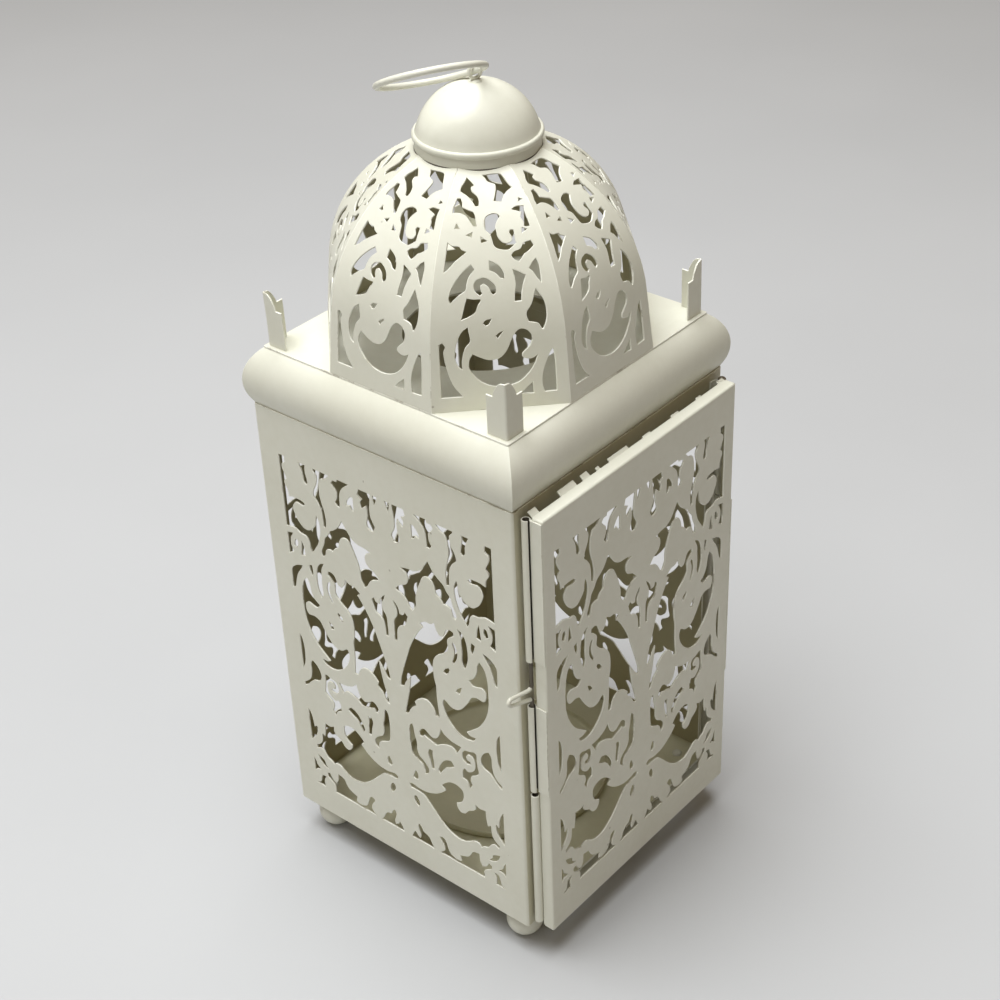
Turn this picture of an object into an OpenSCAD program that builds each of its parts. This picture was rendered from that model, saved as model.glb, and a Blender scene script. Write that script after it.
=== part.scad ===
// Square candle lantern with pierced scrollwork walls, a hinged door, an
// eight-sided pierced dome and a carry ring.
// Z is up, the floor is at z = 0 and the lantern's axis is x = y = 0.
// The door is at the front, on -Y, hinged at +X and latched at -X.
// All lengths are in millimetres and all angles in degrees.

/* [Body] */
// Outer side of the square body
body_side = 150; // [100:1:240]
// Height of the body walls
body_h = 235.5; // [160:0.5:380]
// Thickness of the formed sheet
sheet_t = 0.8; // [0.5:0.1:1.5]
// Outer radius of the folded corners
fold_r = 1.4; // [1:0.1:5]
// Plain border beside the pierced window in each wall
window_in = 12.5; // [6:0.5:30]
// Plain border over the window
window_over = 22.5; // [8:0.5:40]
// Plain border under the window
window_z = 16; // [8:0.5:30]
// Width of the plain strip beside the doorway
stile_w = 10; // [6:0.5:20]
// Height of the strip over the doorway
header_h = 10; // [4:0.5:20]
// Height of the strip under the doorway
sill_h = 6; // [3:0.5:15]

/* [Feet and floor] */
// Radius of a ball foot
foot_r = 9; // [6:0.5:14]
// Distance of a foot from the axis, along X and along Y
foot_place = 63; // [40:1:100]
// Depth ground off the bottom of a ball
foot_flat = 0.25; // [0.1:0.05:1]
// Gap between a ball and the body's bottom edge
foot_gap = 0.85; // [0.4:0.05:3]
// Radius of the stud that joins a ball to the floor plate
stud_r = 3; // [2:0.25:5]
// Radius of the rivet in the stud
rivet_r = 1.2; // [0.8:0.1:2]
// Radius of the rivet's head
rivet_head_r = 2.6; // [1.5:0.1:4]
// Depth of the rivet in the stud
rivet_depth = 5; // [3:0.5:10]
// Outer radius of the candle dish
dish_r = 52.8; // [30:0.1:70]
// Height of the candle dish
dish_h = 4.5; // [3:0.1:12]

/* [Cornice] */
// Outer radius of the moulding's curve
roll_r = 20.3; // [17:0.1:35]
// Height of the moulding over the walls
roll_h = 27.6; // [20:0.1:33]
// Height of the tongue that joins the moulding to the inside of a wall
tuck_h = 4; // [2:0.5:10]
// How far the moulding's top edge is inside the wall's outer face
top_in = 5.5; // [3:0.1:12]
// Width of the moulding's flange under the top plate
top_flange = 4; // [2:0.5:8]
// Radius of the round hole in the top plate
plate_hole_r = 37.5; // [20:0.5:48]

/* [Dome] */
// How far the dome's base is inside the wall's outer face
dome_in = 5.2; // [5.2:0.1:14]
// Length of the straight part of a gore
dome_leg = 29; // [15:0.1:60]
// Lean of the straight part
dome_lean = 5.8; // [0:0.1:15]
// Radius of the curved part of a gore
dome_arc_r = 74; // [50:0.5:140]
// Number of gores
gore_count = 8; // [8:1:8]
// Outer radius of the chimney collar
collar_r = 26.8; // [18:0.1:45]
// Length of the chimney collar
collar_h = 6.8; // [4:0.2:15]
// How far the collar reaches down inside the dome
collar_in = 2.6; // [1:0.2:8]
// Radius of the bead on the collar
bead_r = 1; // [0.6:0.05:3]
// Radius of the cap at its foot
cap_r = 26.2; // [16:0.1:42]
// Height of the cap
cap_h = 21.6; // [10:0.2:40]

/* [Carry ring] */
// Radius of the ring's centre line
ring_r = 22.4; // [14:0.1:40]
// Thickness of the ring's wire
ring_wire = 2.8; // [1.5:0.1:5]
// Angle from level at which the ring rests
ring_rest = 9; // [8:0.5:60]
// Tilt of the ring across its own pin line
ring_tilt = -26; // [-26:0.5:26]
// Turn of the ring's swing line about the vertical
ring_turn = -12.5; // [-90:0.5:90]
// Radius of the hole in the eye
eye_hole_r = 2.4; // [1.6:0.1:5]
// Thickness of the eye's wire
eye_wire = 1.5; // [0.8:0.1:3]
// Height of the eye's centre over the cap
eye_up = 4; // [4:0.1:8]
// Radius of the eye's base
eye_base_r = 3; // [2:0.1:5]
// Height of the eye's base over the cap
eye_base_h = 0.5; // [0.3:0.1:1.5]

/* [Finials] */
// Height of a corner finial
finial_h = 26.2; // [15:0.2:50]
// Width of each leaf of a finial
finial_w = 10.5; // [6:0.5:20]
// How far a finial's corner is inside the walls' outer faces
finial_in = 7; // [6:0.5:20]

/* [Door] */
// How far the door's side is inside the wall's outer face
door_inset = 5.15; // [4.5:0.05:12]
// Distance of the door's top below the body's top edge
door_drop = 2.5; // [2.5:0.1:6]
// Plain border under the door's window
door_window_z = 17.5; // [8:0.5:30]
// Depth of the door pan
door_depth = 5.9; // [3:0.1:12]
// Outer radius of the hinge and latch tubes
tube_r = 2.05; // [1.2:0.05:4]
// Radius of the bore in the tubes
bore_r = 1.22; // [0.7:0.01:2.5]
// Radius of the hinge pin and of the latch bolt
pin_r = 1.15; // [0.6:0.01:2.4]
// Gap between a tube and the strip beside the doorway
tube_stand = 1.2; // [0.4:0.1:2]
// Distance of a tube's centre outside the door's side
tube_out = 0.6; // [0.4:0.1:2.5]
// How far a fixed tube's wall and its leaf run into each other
leaf_lap = 0.4; // [0.2:0.05:1]
// Width of the leaves on the body
leaf_w = 5; // [3:0.1:12]
// How far the leaves on the door end short of its face
leaf_short = 0.2; // [0.1:0.1:4]
// Height of the hinge's lower joint
hinge_low = 68; // [30:1:120]
// Height of the hinge's upper joint
hinge_high = 170; // [100:1:280]
// Distance of the hinge's top below the door's top
hinge_drop = 1.5; // [1.5:0.1:12]
// Gap between two hinge tubes
hinge_gap = 0.6; // [0.3:0.1:2]
// Radius of the pin's head
pin_head_r = 1.9; // [1.3:0.05:3]
// Height of the pin's head
pin_head_h = 1.2; // [0.6:0.1:3]

/* [Latch] */
// Bottom of the fixed latch tube
catch_low = 3.5; // [0:0.5:20]
// Top of the fixed latch tube
catch_high = 82.4; // [40:0.2:140]
// Bottom of the lower latch tube on the door
guide_low = 85; // [45:0.5:145]
// Top of the lower latch tube on the door
guide_high = 134; // [80:1:220]
// Bottom of the upper latch tube on the door
guide_top_low = 159; // [100:1:260]
// Distance of the upper latch tube's top below the door's top
guide_drop = 1; // [0:0.5:12]
// Bottom of the latch bolt at rest
bolt_low = 83.4; // [45:0.2:140]
// Distance of the bolt's top inside the upper latch tube at rest
bolt_in = 26; // [16:1:60]
// Height of the middle of the bolt's grip
grip_z = 140; // [90:1:230]
// Reach of the bolt's grip
grip_reach = 15.5; // [8:0.5:25]
// Rise of the grip's nose over its root
grip_rise = 6; // [0:0.5:10]
// Thickness of the grip's wire
grip_wire = 1.5; // [0.8:0.1:2.5]
// Inner radius of the bend at the grip's nose
grip_bend = 1.5; // [0.8:0.1:4]
// Length of the small tabs that hold the fixed latch tube
tab_h = 6; // [3:0.5:12]
// Distance of a tab from the fixed latch tube's end
tab_in = 9; // [2:0.5:20]

/* [Hidden] */
$fn = 96;
overrun = 1;
rivet_clear = 0.05;
seat_clear = 0.05;
arc_spare = 4;
rivet_head_share = 0.45;
wall = body_side / 2;
body_z = 2 * foot_r - foot_flat + foot_gap;
body_top = body_z + body_h;
floor_z = body_z + sill_h;
foot_z = foot_r - foot_flat;
header_z = body_top - header_h;
doorway_x = wall - stile_w;
top_y = wall - top_in;
top_z = body_top + roll_h;
roll_foot = wall - sheet_t;
roll_chord = sqrt(roll_h * roll_h + (roll_foot - top_y) * (roll_foot - top_y));
roll_deep = sqrt(roll_r * roll_r - roll_chord * roll_chord / 4);
roll_y = (roll_foot + top_y) / 2 - roll_deep * roll_h / roll_chord;
roll_z = body_top + roll_h / 2 - roll_deep * (roll_foot - top_y) / roll_chord;
dome_z = top_z + sheet_t;
gore_half = 180 / gore_count;
dome_base = wall - dome_in;
finial_place = wall - finial_in;
leg_top_y = dome_base - dome_leg * sin(dome_lean);
leg_top_z = dome_z + dome_leg * cos(dome_lean);
arc_y = leg_top_y - dome_arc_r * cos(dome_lean);
arc_z = leg_top_z - dome_arc_r * sin(dome_lean);
arc_end = acos((collar_r - arc_y) / dome_arc_r);
dome_top_z = arc_z + dome_arc_r * sin(arc_end);
collar_z = dome_top_z - collar_in;
collar_top = collar_z + collar_h;
bead_z = collar_top + bead_r;
cap_z = bead_z + bead_r;
cap_ball_r = (cap_r * cap_r + cap_h * cap_h) / (2 * cap_h);
cap_ball_z = cap_z + cap_h - cap_ball_r;
eye_z = cap_z + cap_h + eye_up;
eye_r = eye_hole_r + eye_wire / 2;
eye_base_z = cap_z + cap_h - eye_up / 2;
window_w = body_side - 2 * window_in;
window_h = body_h - window_z - window_over;
door_w = body_side - 2 * door_inset;
door_h = body_h - door_drop;
hinge_top = door_h - hinge_drop;
guide_top_high = door_h - guide_drop;
bolt_high = guide_top_high - bolt_in;
tube_x = door_w / 2 + tube_out;
tube_y = wall + tube_stand + tube_r;
door_back = tube_y + tube_r + seat_clear;
door_front = door_back + door_depth;

// Half of the scrollwork of a wall. Each point counts squares of a grid, first
// outward from the wall's centre line, then down from the window's top.
scroll_shares = [
    [[2.2, 0], [4.8, 0], [4.7, 2.6], [4.1, 5], [3.2, 3]],
    [[6.4, 0], [13.2, 0], [14, 3], [12, 4.4], [11.4, 4.6], [12.8, 6.5], [12.2, 9.6], [10.6, 8.2],
     [9, 6.8], [8.6, 9.2], [8.8, 13], [9.8, 17.4], [8.4, 19.4], [6.2, 19.6], [4.9, 16.8],
     [6.8, 13], [7.4, 9], [7, 5.5], [6.6, 2.5]],
    [[17.2, 6.2], [18.6, 6.2], [21.4, 10], [21.6, 11.8], [19.4, 11], [18.2, 13.2], [17.2, 13.2]],
    [[19, 0], [26.2, 0], [26.6, 1.5], [29, 1.7], [30, 3.2], [28.6, 5], [27.2, 6.6], [27.2, 10],
     [28.6, 12.8], [27.4, 14.6], [25.8, 14.4], [25.6, 11], [25.4, 7.6], [24.2, 4.6], [22, 2.2]],
    [[31.4, 0], [41.4, 0], [40.6, 1.6], [39.6, 2.4], [39.2, 4.6], [40, 8], [42, 12],
     [42.4, 14.6], [40, 17.5], [38.4, 20.4], [37.8, 24], [37.6, 29.6], [36.2, 30.2], [35.8, 25],
     [36.4, 20.6], [37.6, 16.4], [38.4, 12], [38, 8.4], [37.6, 5.4], [36.4, 3.4], [34, 2.6]],
    [[46, 0], [50, 0], [49.4, 1.4], [48.4, 3.4], [47.8, 6.4], [47.6, 9.2], [46.4, 10.4],
     [45.4, 9.4], [45.8, 6], [46.4, 3]],
    [[62.5, 0], [59, 0], [59, 3], [61, 4.5], [61.2, 6.5], [60, 9.5], [58.9, 11.8], [60.6, 13.5],
     [60.6, 15], [59, 18], [58.6, 21.5], [55.6, 20.8], [49.3, 21.3], [48.6, 22.3], [49.8, 23.2],
     [54.2, 22.8], [56.1, 24.8], [56.8, 27], [55.2, 31.5], [53.4, 34], [50.7, 36], [47.8, 36],
     [44.9, 33.8], [42.9, 31], [42.5, 28], [41.9, 25.3], [40.6, 28], [40.2, 32.3], [40.9, 36.5],
     [42.4, 41], [44.9, 45], [46.8, 47.8], [47.8, 46], [48.6, 42], [50.3, 40], [53.2, 39.8],
     [57.1, 38.2], [59.6, 38.4], [62.5, 39]],
    [[25.6, 22], [28.4, 26.6], [31.6, 29.4], [34, 31], [35.4, 33.6], [37.8, 36.4], [38.6, 39.4],
     [40.8, 45], [40.2, 47], [38.8, 46.4], [37.4, 42.4], [35, 41.4], [33.2, 41.6], [31.8, 39.4],
     [29.4, 37.8], [28.6, 34.4], [26.8, 31.6], [24.4, 30.8], [22, 32], [20.4, 35], [19, 38.6],
     [17.6, 42], [16.8, 46], [16.6, 50], [14.6, 53.6], [13, 52.4], [11.6, 49.8], [9.4, 47.4],
     [4.8, 45.6], [7.6, 42.6], [11.6, 40.4], [13, 37], [12, 34], [8.8, 32.4], [12.6, 31.4],
     [17, 31], [20.4, 29.2], [23, 26]],
    [[62.5, 42.6], [58.8, 41.8], [60.6, 45], [60.8, 49.5], [59.4, 52.6], [62.5, 54.2]],
    [[56.4, 44.4], [57.8, 45], [58.6, 48.6], [57.2, 49.4], [56, 47]],
    [[53.6, 43.6], [52.4, 47], [51.8, 51.6], [54.4, 52.4], [54, 48]],
    [[48.4, 55.8], [50.4, 56.6], [49.8, 59.4], [48.8, 62], [48, 60.4]],
    [[40.4, 51.6], [43, 53], [45, 56], [45.4, 60], [46, 65], [45, 70], [43.8, 72.4], [42.6, 70],
     [42.8, 64], [42.4, 59], [42.4, 56]],
    [[37.6, 60.6], [39, 62], [39.8, 66], [39.4, 69], [37.4, 72.8], [36.6, 72], [38, 68],
     [38.2, 64.4], [37.2, 61.6]],
    [[2.4, 52.6], [4, 54], [5.6, 56.6], [6, 59.2], [8.2, 59], [9.4, 56.8], [11, 58.6],
     [10, 61.6], [8.8, 64.6], [6.4, 65.6], [4.6, 67.4], [3.8, 70], [3.4, 75.6], [2, 75.6],
     [2, 69], [2.4, 64], [4.2, 61.4], [4.4, 57.6], [3, 54.6]],
    [[38, 55], [38.2, 57], [35.6, 59], [34.2, 61], [34.4, 66], [31.4, 69.6], [28, 72],
     [25.4, 75.6], [24.4, 80], [24.6, 86], [25.6, 91], [25.6, 98], [26, 104], [26.6, 109],
     [24.4, 109], [23, 105.4], [20.6, 103], [17.6, 102.6], [14, 104.4], [11.4, 107], [12, 109.4],
     [9, 112], [6.6, 116.4], [4.9, 117], [6, 112.4], [7.8, 106], [9.2, 98.6], [9.8, 93.6],
     [7, 97.2], [5, 101], [3.2, 101.4], [3.8, 97], [6, 90], [8.4, 83], [11, 75.6], [14, 69.4],
     [17, 64.4], [20, 60.4], [18, 59], [21.4, 56.6], [24.6, 56.4], [27, 54.8], [28, 58.2],
     [29.8, 60.6], [31.8, 60.2], [33, 57.6], [34, 55.6], [36, 54.6]],
    [[52.6, 64.6], [55.2, 67.6], [56.6, 73], [57, 80], [56.8, 87], [55.4, 93.4], [52.8, 99],
     [49.6, 103.4], [45.4, 107], [42.6, 109.4], [44.8, 110.6], [48, 110.4], [46.8, 112.4],
     [43, 113.6], [39, 113.2], [35.4, 111], [32, 107.4], [29.8, 103], [29.2, 99], [30, 96.8],
     [31.4, 97.2], [33.4, 98.8], [36.4, 99.4], [39.6, 98], [42.4, 94.8], [45, 90.8], [47, 87.4],
     [50, 86.2], [54, 86.4], [55.4, 84.4], [55.4, 80.6], [53.4, 79], [50.8, 79.6], [48, 80],
     [45.8, 77.8], [48.6, 75.8], [50.6, 72], [51.4, 67.4]],
    [[30.8, 80.4], [31.6, 78.6], [34, 76.8], [34.6, 77.6], [33.8, 79.6], [32.2, 81]],
    [[37.6, 88.4], [38.8, 86.2], [41.2, 84.6], [40.6, 86.8], [39.8, 88.8]],
    [[54.8, 58.6], [58.4, 59.8], [61.4, 62], [62.5, 64], [62.5, 74], [61.4, 73.4], [60, 68.6],
     [58.4, 64.4], [56, 61]],
    [[62.5, 101.6], [61.2, 103.6], [60.2, 109], [60.2, 114], [61, 119.4], [62.5, 122.6]],
    [[55.4, 115], [56.8, 117.4], [57, 123], [58, 127], [60, 129.6], [62.5, 131.6], [62.5, 133.4],
     [60.4, 132], [57.8, 129.2], [55.4, 127.2], [52.4, 126.2], [50.6, 124], [50.6, 120.6],
     [52.6, 117]],
    [[26.6, 115.8], [28.6, 118], [33, 120], [38.6, 120.6], [37.4, 123], [35.8, 125.8],
     [34, 123.6], [30.6, 123.6], [26.6, 125.2], [23, 127.4], [20.6, 126.6], [18, 126],
     [15.8, 125], [14.6, 126.8], [13.2, 126.6], [12.9, 124.4], [14.4, 122.2], [16.6, 121.4],
     [19, 123], [21.6, 124], [24, 122.6], [25.6, 119.6]],
    [[8.4, 121.8], [7, 123.6], [6.4, 129], [6.6, 136], [7.4, 140.6], [9, 142], [10.6, 142.8],
     [13, 144], [14.6, 146], [15, 149.4], [17, 147.6], [17.2, 145], [15, 142.2], [12, 140],
     [10.6, 137], [10.6, 132.4], [9.6, 128], [9.2, 124]],
    [[39.4, 127], [39.2, 124], [40.6, 121.6], [43.6, 120.8], [46.4, 119.8], [47.8, 120.4],
     [47.8, 124], [48.2, 128], [48.8, 131], [47, 133.2], [44, 135.4], [43.6, 138.6],
     [44.6, 140.4], [42.8, 143.2], [41.6, 140.2], [38.8, 138.8], [38.8, 134.6], [40, 132.6],
     [42.4, 133.6], [45.2, 131.8], [46.6, 129.4], [46.6, 125], [45, 122.8], [42.6, 122.8],
     [41.4, 124.8], [42, 126.6], [43.8, 126.8], [44.2, 128.2], [41.6, 129]],
    [[20.4, 132.2], [18.4, 132.2], [17.6, 134.6], [18.6, 139], [19.4, 143.6], [20.8, 143.4],
     [20.8, 139], [20.2, 135]],
    [[32, 132.6], [33.8, 135], [31.4, 136.8], [28.4, 138.4], [26.4, 141], [24.6, 144],
     [23.6, 142.6], [24.4, 139.6], [26.4, 136], [29, 133.6]],
    [[8.6, 150.6], [9.8, 152.6], [9.6, 155.6], [8, 156.4], [6.8, 155.4], [7.4, 153]],
    [[7.6, 167.4], [9, 169.4], [9.4, 172], [8.6, 173.6], [7, 172.2], [6, 169.8], [6.4, 168]],
    [[3.6, 161.6], [5.2, 160.6], [10, 161.4], [15.4, 161], [19.6, 159.4], [23.4, 157],
     [27, 153.6], [26.6, 152.4], [24.8, 151.2], [27.4, 148.4], [31, 146.2], [35, 146],
     [37.8, 147.4], [38.4, 151], [37.2, 154.6], [35, 156.6], [33.6, 157.4], [34, 159.6],
     [36, 161.8], [38.6, 161.4], [41, 158.4], [44, 156.6], [45.6, 154.6], [45.4, 151.8],
     [48, 153], [51.6, 152.6], [51.8, 157], [52.6, 161.6], [54.4, 160.2], [55, 165.8],
     [57, 168.8], [59.4, 170.2], [58.8, 172], [56, 171], [53.8, 172.6], [52.2, 175], [49.6, 176],
     [48, 177.4], [46.4, 175.8], [43.4, 176], [40, 178.4], [36, 180], [32, 179.8], [27.6, 178.2],
     [23.4, 175], [19, 170.4], [15.6, 166.6], [13, 164.2], [9.6, 163.4], [4.6, 163.4]],
    [[59.4, 176.4], [58, 179.8], [55, 182.4], [52, 182.6], [54.4, 180.8], [54.8, 178.8],
     [57, 177.4]],
    [[62.5, 179.6], [61.4, 181.6], [60.6, 184], [58, 186.2], [61, 187], [62.5, 188.4]],
    [[62.5, 148], [61, 150.6], [60, 154], [59.4, 159], [58.2, 157.4], [57.4, 158], [58, 162],
     [59.4, 164.6], [62.5, 168]],
    [[2.6, 196.4], [3.8, 193.4], [5, 191.6], [6.4, 193.6], [8, 194.6], [8.6, 192.4],
     [7.6, 189.6], [7.2, 187], [8, 185.2], [9.6, 186.8], [10.4, 189], [13, 189.8], [14.6, 191.6],
     [16, 194.6], [17.4, 196.4]],
    [[21, 196.4], [22.6, 195], [24, 193.4], [23.4, 190], [21.6, 187.4], [21.4, 186.2],
     [23, 185.4], [24.6, 186.4], [25.8, 189.6], [27.2, 193], [29, 194.4], [32.6, 195],
     [34.6, 194.2], [33.8, 191], [36.6, 189.8], [39, 188.8], [41, 186], [42, 184], [46.2, 182.8],
     [46.6, 187.4], [48, 189.8], [50.4, 188.4], [52, 185.4], [53.8, 186.2], [53.4, 188.4],
     [50, 190.8], [48.8, 192.4], [49, 196.4]],
    [[55, 189.4], [57.6, 189.8], [58.6, 192], [59.4, 195], [62, 196.4], [56.2, 196.4],
     [56.6, 192.4]]
];
window_squares_share = 125;
window_rows_share = 197;

// The scrollwork of a gore. Each point counts squares of a grid, first
// across the gore, then up along the sheet from its base.
gore_shares = [
    [[-7.2, 99.6], [-5.8, 97.6], [-4.6, 95.6], [-6, 95], [-6, 93], [-4, 90.5], [-3.4, 88],
     [-3.8, 86], [-5, 86], [-6.2, 88.5], [-8, 91], [-10.4, 93.2], [-10, 95], [-8.6, 97]],
    [[-1, 100.3], [6, 100.5], [7.5, 98.5], [9, 95.5], [10.4, 93.5], [9, 92.5], [7.5, 91],
     [6.3, 89], [5.8, 87.3], [2.6, 87.8], [3.4, 90.5], [4, 93.5], [3.8, 95.5], [1, 97], [0, 99]],
    [[12.6, 88.6], [14.3, 87.8], [12.5, 86.8]],
    [[-12.8, 88], [-12, 90], [-10.6, 90], [-10.2, 88], [-10.4, 86], [-8.6, 84.8], [-6, 83.3],
     [-5.6, 80], [-5.4, 77.5], [-6.6, 77.6], [-7.8, 80], [-9.4, 82.3], [-11.5, 83.6],
     [-14.4, 83.8], [-14, 85.8]],
    [[-1.8, 75.5], [-2.2, 78.5], [-1, 81.3], [1.2, 82.3], [3.4, 82], [4.4, 81], [3, 79],
     [2.2, 77], [2.4, 74.5], [3, 72], [5, 69.8], [7, 69.6], [8.4, 70.5], [8.6, 72], [7.6, 74],
     [8, 75], [9.4, 75], [9.6, 72], [10, 69.5], [8.6, 68.3], [6.6, 67], [4.5, 67.5], [1.5, 68.3],
     [0.6, 71], [-0.2, 74]],
    [[9.4, 83.6], [11, 84.8], [14.4, 84.8], [14.6, 82], [15.8, 78], [16.2, 76], [14, 76],
     [13.6, 78.5], [12.8, 79.8], [13.4, 82.2], [11.5, 82.8]],
    [[-13.2, 79.2], [-12.2, 77], [-14.3, 77]],
    [[-7.2, 75], [-7.8, 73], [-9.8, 74]],
    [[-4, 72.8], [-1.4, 71], [-4, 70.4]],
    [[12.8, 75.7], [15, 74.8], [12.6, 73.4]],
    [[-17.4, 71.4], [-16, 70], [-13, 69.4], [-12.4, 68.4], [-10.2, 67.2], [-13, 65.2],
     [-15.4, 63.6], [-18, 61], [-20, 59.6], [-19, 64.5]],
    [[16, 70.2], [17, 68], [14.5, 65.8], [13, 65], [12, 63.5], [10.6, 62], [9, 62.8],
     [7.6, 64.5], [8.8, 66], [11.6, 67], [13, 69.3]],
    [[-9, 62], [-7.6, 60], [-10, 57.5], [-11.4, 54], [-11.8, 52], [-15, 50], [-18.2, 47.2],
     [-18.8, 48.4], [-17.8, 52], [-15, 56.5], [-11.6, 60]],
    [[-1.5, 63.2], [0.8, 62], [2.8, 60.3], [4.2, 57], [4.2, 55.6], [2.6, 56], [0.8, 58],
     [-1.6, 59.3]],
    [[7.8, 59], [10, 58], [12.8, 56.4], [11.6, 53], [10.6, 49], [10.4, 46.2], [7.8, 46.2],
     [8, 49], [8.6, 53], [8.4, 56]],
    [[17.4, 62.8], [18.4, 60.5], [18.8, 56], [19, 53], [17.4, 55], [16, 57.5], [14.4, 59],
     [16, 61.5]],
    [[-6.2, 49.4], [-8, 51.2], [-8.4, 53.8], [-7, 55.8], [-4.4, 56.6], [-1.6, 55.2], [0.2, 52.6],
     [0.4, 50.2], [-0.8, 49.4], [-1.6, 50.4], [-2.4, 52.6], [-4.4, 54.2], [-5.8, 53.4],
     [-5.8, 51.6], [-5.2, 50.2]],
    [[-11.6, 48.6], [-8.6, 48], [-6.2, 48], [-6, 47.4], [-7.4, 45.5], [-8.6, 42.8], [-11, 41.2],
     [-14.4, 40], [-13.4, 43]],
    [[16.5, 50.8], [18, 48.5], [19.8, 45], [20.4, 41], [20, 37], [18.8, 34], [18.2, 34],
     [16.8, 36.4], [13, 37.4], [12.2, 41], [14.4, 44.5], [15.6, 48]],
    [[-2, 39.8], [-3.4, 37.4], [-4.6, 36.8], [-5.6, 38], [-4.6, 39.2]],
    [[2.6, 34.4], [0.8, 32.2], [0, 31.2], [-0.8, 32.4], [0.4, 33.4]],
    [[-12, 36.8], [-11.6, 34], [-11.4, 30.6], [-13.4, 28.2], [-14.6, 25], [-15.2, 21],
     [-15, 18.6], [-16.4, 19.6], [-17.8, 23], [-17.6, 27], [-16.6, 31], [-14.4, 35]],
    [[-12.2, 19], [-12, 22.5], [-10.6, 25], [-8, 23.6], [-4, 22], [0, 22.4], [3, 25],
     [4.8, 28.5], [6.4, 32], [9, 34.6], [11.6, 34.2], [13.8, 31.5], [13.4, 28], [11.4, 25.6],
     [9.8, 24], [9.6, 22.6], [11, 21.6], [13.6, 21.4], [16, 22.8], [14.6, 19], [12, 15],
     [8, 11.6], [3, 10], [-2, 10.2], [-6.6, 12], [-10.2, 15.4]],
    [[-24.2, 30.2], [-22.8, 30.8], [-21.6, 29.2], [-22.4, 27], [-22, 22], [-20.6, 15.6],
     [-18.4, 10.4], [-15.4, 6.6], [-24.4, 6.6]],
    [[22.4, 25.4], [23, 22], [23.4, 6.4], [18.4, 6.2], [17.6, 10], [18, 15], [19.6, 20],
     [21.4, 24]],
    [[13.6, 11], [13.8, 6], [8.6, 6.2]]
];
gore_rows_share = 103;

square_w = window_w / window_squares_share;
square_h = window_h / window_rows_share;
gore_span = dome_leg + dome_arc_r * (arc_end - dome_lean) * PI / 180;
gore_square = gore_span / gore_rows_share;

// Outline of one finial leaf, in shares of its width and height from the fold.
leaf_shares = [
    [0, 0], [1, 0], [1, 0.71], [0.66, 0.71], [0.62, 0.78],
    [0.52, 0.86], [0.4, 0.94], [0.27, 0.985], [0.1, 1], [0, 1],
];

// A square outline of half-width a whose corners are cut back by c.
function nipped(a, c) = [
    [a, c - a], [a, a - c], [a - c, a], [c - a, a],
    [-a, a - c], [-a, c - a], [c - a, -a], [a - c, -a],
];

// Height on the dome that lies s along the sheet from its base.
function gore_height(s) = s <= dome_leg
    ? dome_z + s * cos(dome_lean)
    : arc_z + dome_arc_r * sin(dome_lean + (s - dome_leg) / dome_arc_r * 180 / PI);

// The openings of one wall, upright, with the window's foot at zero.
module scrollwork() {
    for (side = [-1, 1])
        for (shape = scroll_shares)
            polygon([for (p = shape) [side * p[0] * square_w, window_h - p[1] * square_h]]);
}

// A flat sheet facing the front, its outer face at distance y.
module upright(y, t) {
    translate([0, t - y, 0])
        rotate([90, 0, 0])
            linear_extrude(height = t)
                children();
}

// Front-facing wall sheet with its pierced window.
module pierced_wall() {
    upright(wall, sheet_t)
        difference() {
            translate([fold_r - wall, body_z])
                square([2 * (wall - fold_r), body_h]);
            translate([0, body_z + window_z])
                scrollwork();
        }
}

// Folded corner strip at the front right.
module fold() {
    translate([wall - fold_r, fold_r - wall, body_z])
        linear_extrude(height = body_h)
            intersection() {
                difference() {
                    circle(r = fold_r);
                    circle(r = fold_r - sheet_t);
                }
                translate([0, -fold_r])
                    square([fold_r, fold_r]);
            }
}

// Wall on the right, with the fold that turns the rear corner.
module right_wall() {
    rotate([0, 0, 90]) {
        pierced_wall();
        fold();
    }
}

// Strip beside the doorway on the right, with the fold of the front corner.
module right_stile() {
    fold();
    translate([doorway_x, -wall, body_z])
        cube([wall - fold_r - doorway_x, sheet_t, body_h]);
}

// Strip across the doorway from height z.
module cross_strip(z, h) {
    translate([-doorway_x, -wall, z])
        cube([2 * doorway_x, sheet_t, h]);
}

module side_panel_left() color("saddlebrown") mirror([1, 0, 0]) right_wall();
module side_panel_right() color("saddlebrown") right_wall();
module back_panel() color("saddlebrown") rotate([0, 0, 180]) pierced_wall();
module front_stile_left() color("saddlebrown") mirror([1, 0, 0]) right_stile();
module front_stile_right() color("saddlebrown") right_stile();
module front_header() color("saddlebrown") cross_strip(header_z, header_h);
module front_sill() color("saddlebrown") cross_strip(body_z, sill_h);

// Places a child at each of the four feet.
module at_feet() {
    for (x = [-1, 1], y = [-1, 1])
        translate([x * foot_place, y * foot_place, 0])
            children();
}

module floor_plate() color("sienna") difference() {
    translate([0, 0, floor_z - sheet_t])
        linear_extrude(height = sheet_t)
            polygon(nipped(wall - sheet_t, fold_r));
    at_feet()
        translate([0, 0, floor_z - sheet_t - overrun])
            cylinder(r = rivet_r + rivet_clear, h = sheet_t + 2 * overrun);
}

module candle_dish() color("peru") translate([0, 0, floor_z]) difference() {
    cylinder(r = dish_r, h = dish_h);
    translate([0, 0, sheet_t])
        cylinder(r = dish_r - sheet_t, h = dish_h);
}

module ball_foot() {
    stud_top = floor_z - sheet_t;
    difference() {
        union() {
            intersection() {
                translate([0, 0, foot_z])
                    sphere(r = foot_r);
                cylinder(r = 2 * foot_r, h = 2 * foot_r);
            }
            translate([0, 0, foot_z])
                cylinder(r = stud_r, h = stud_top - foot_z);
        }
        translate([0, 0, stud_top - rivet_depth - rivet_clear])
            cylinder(r = rivet_r + rivet_clear, h = rivet_depth + overrun);
    }
}

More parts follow.
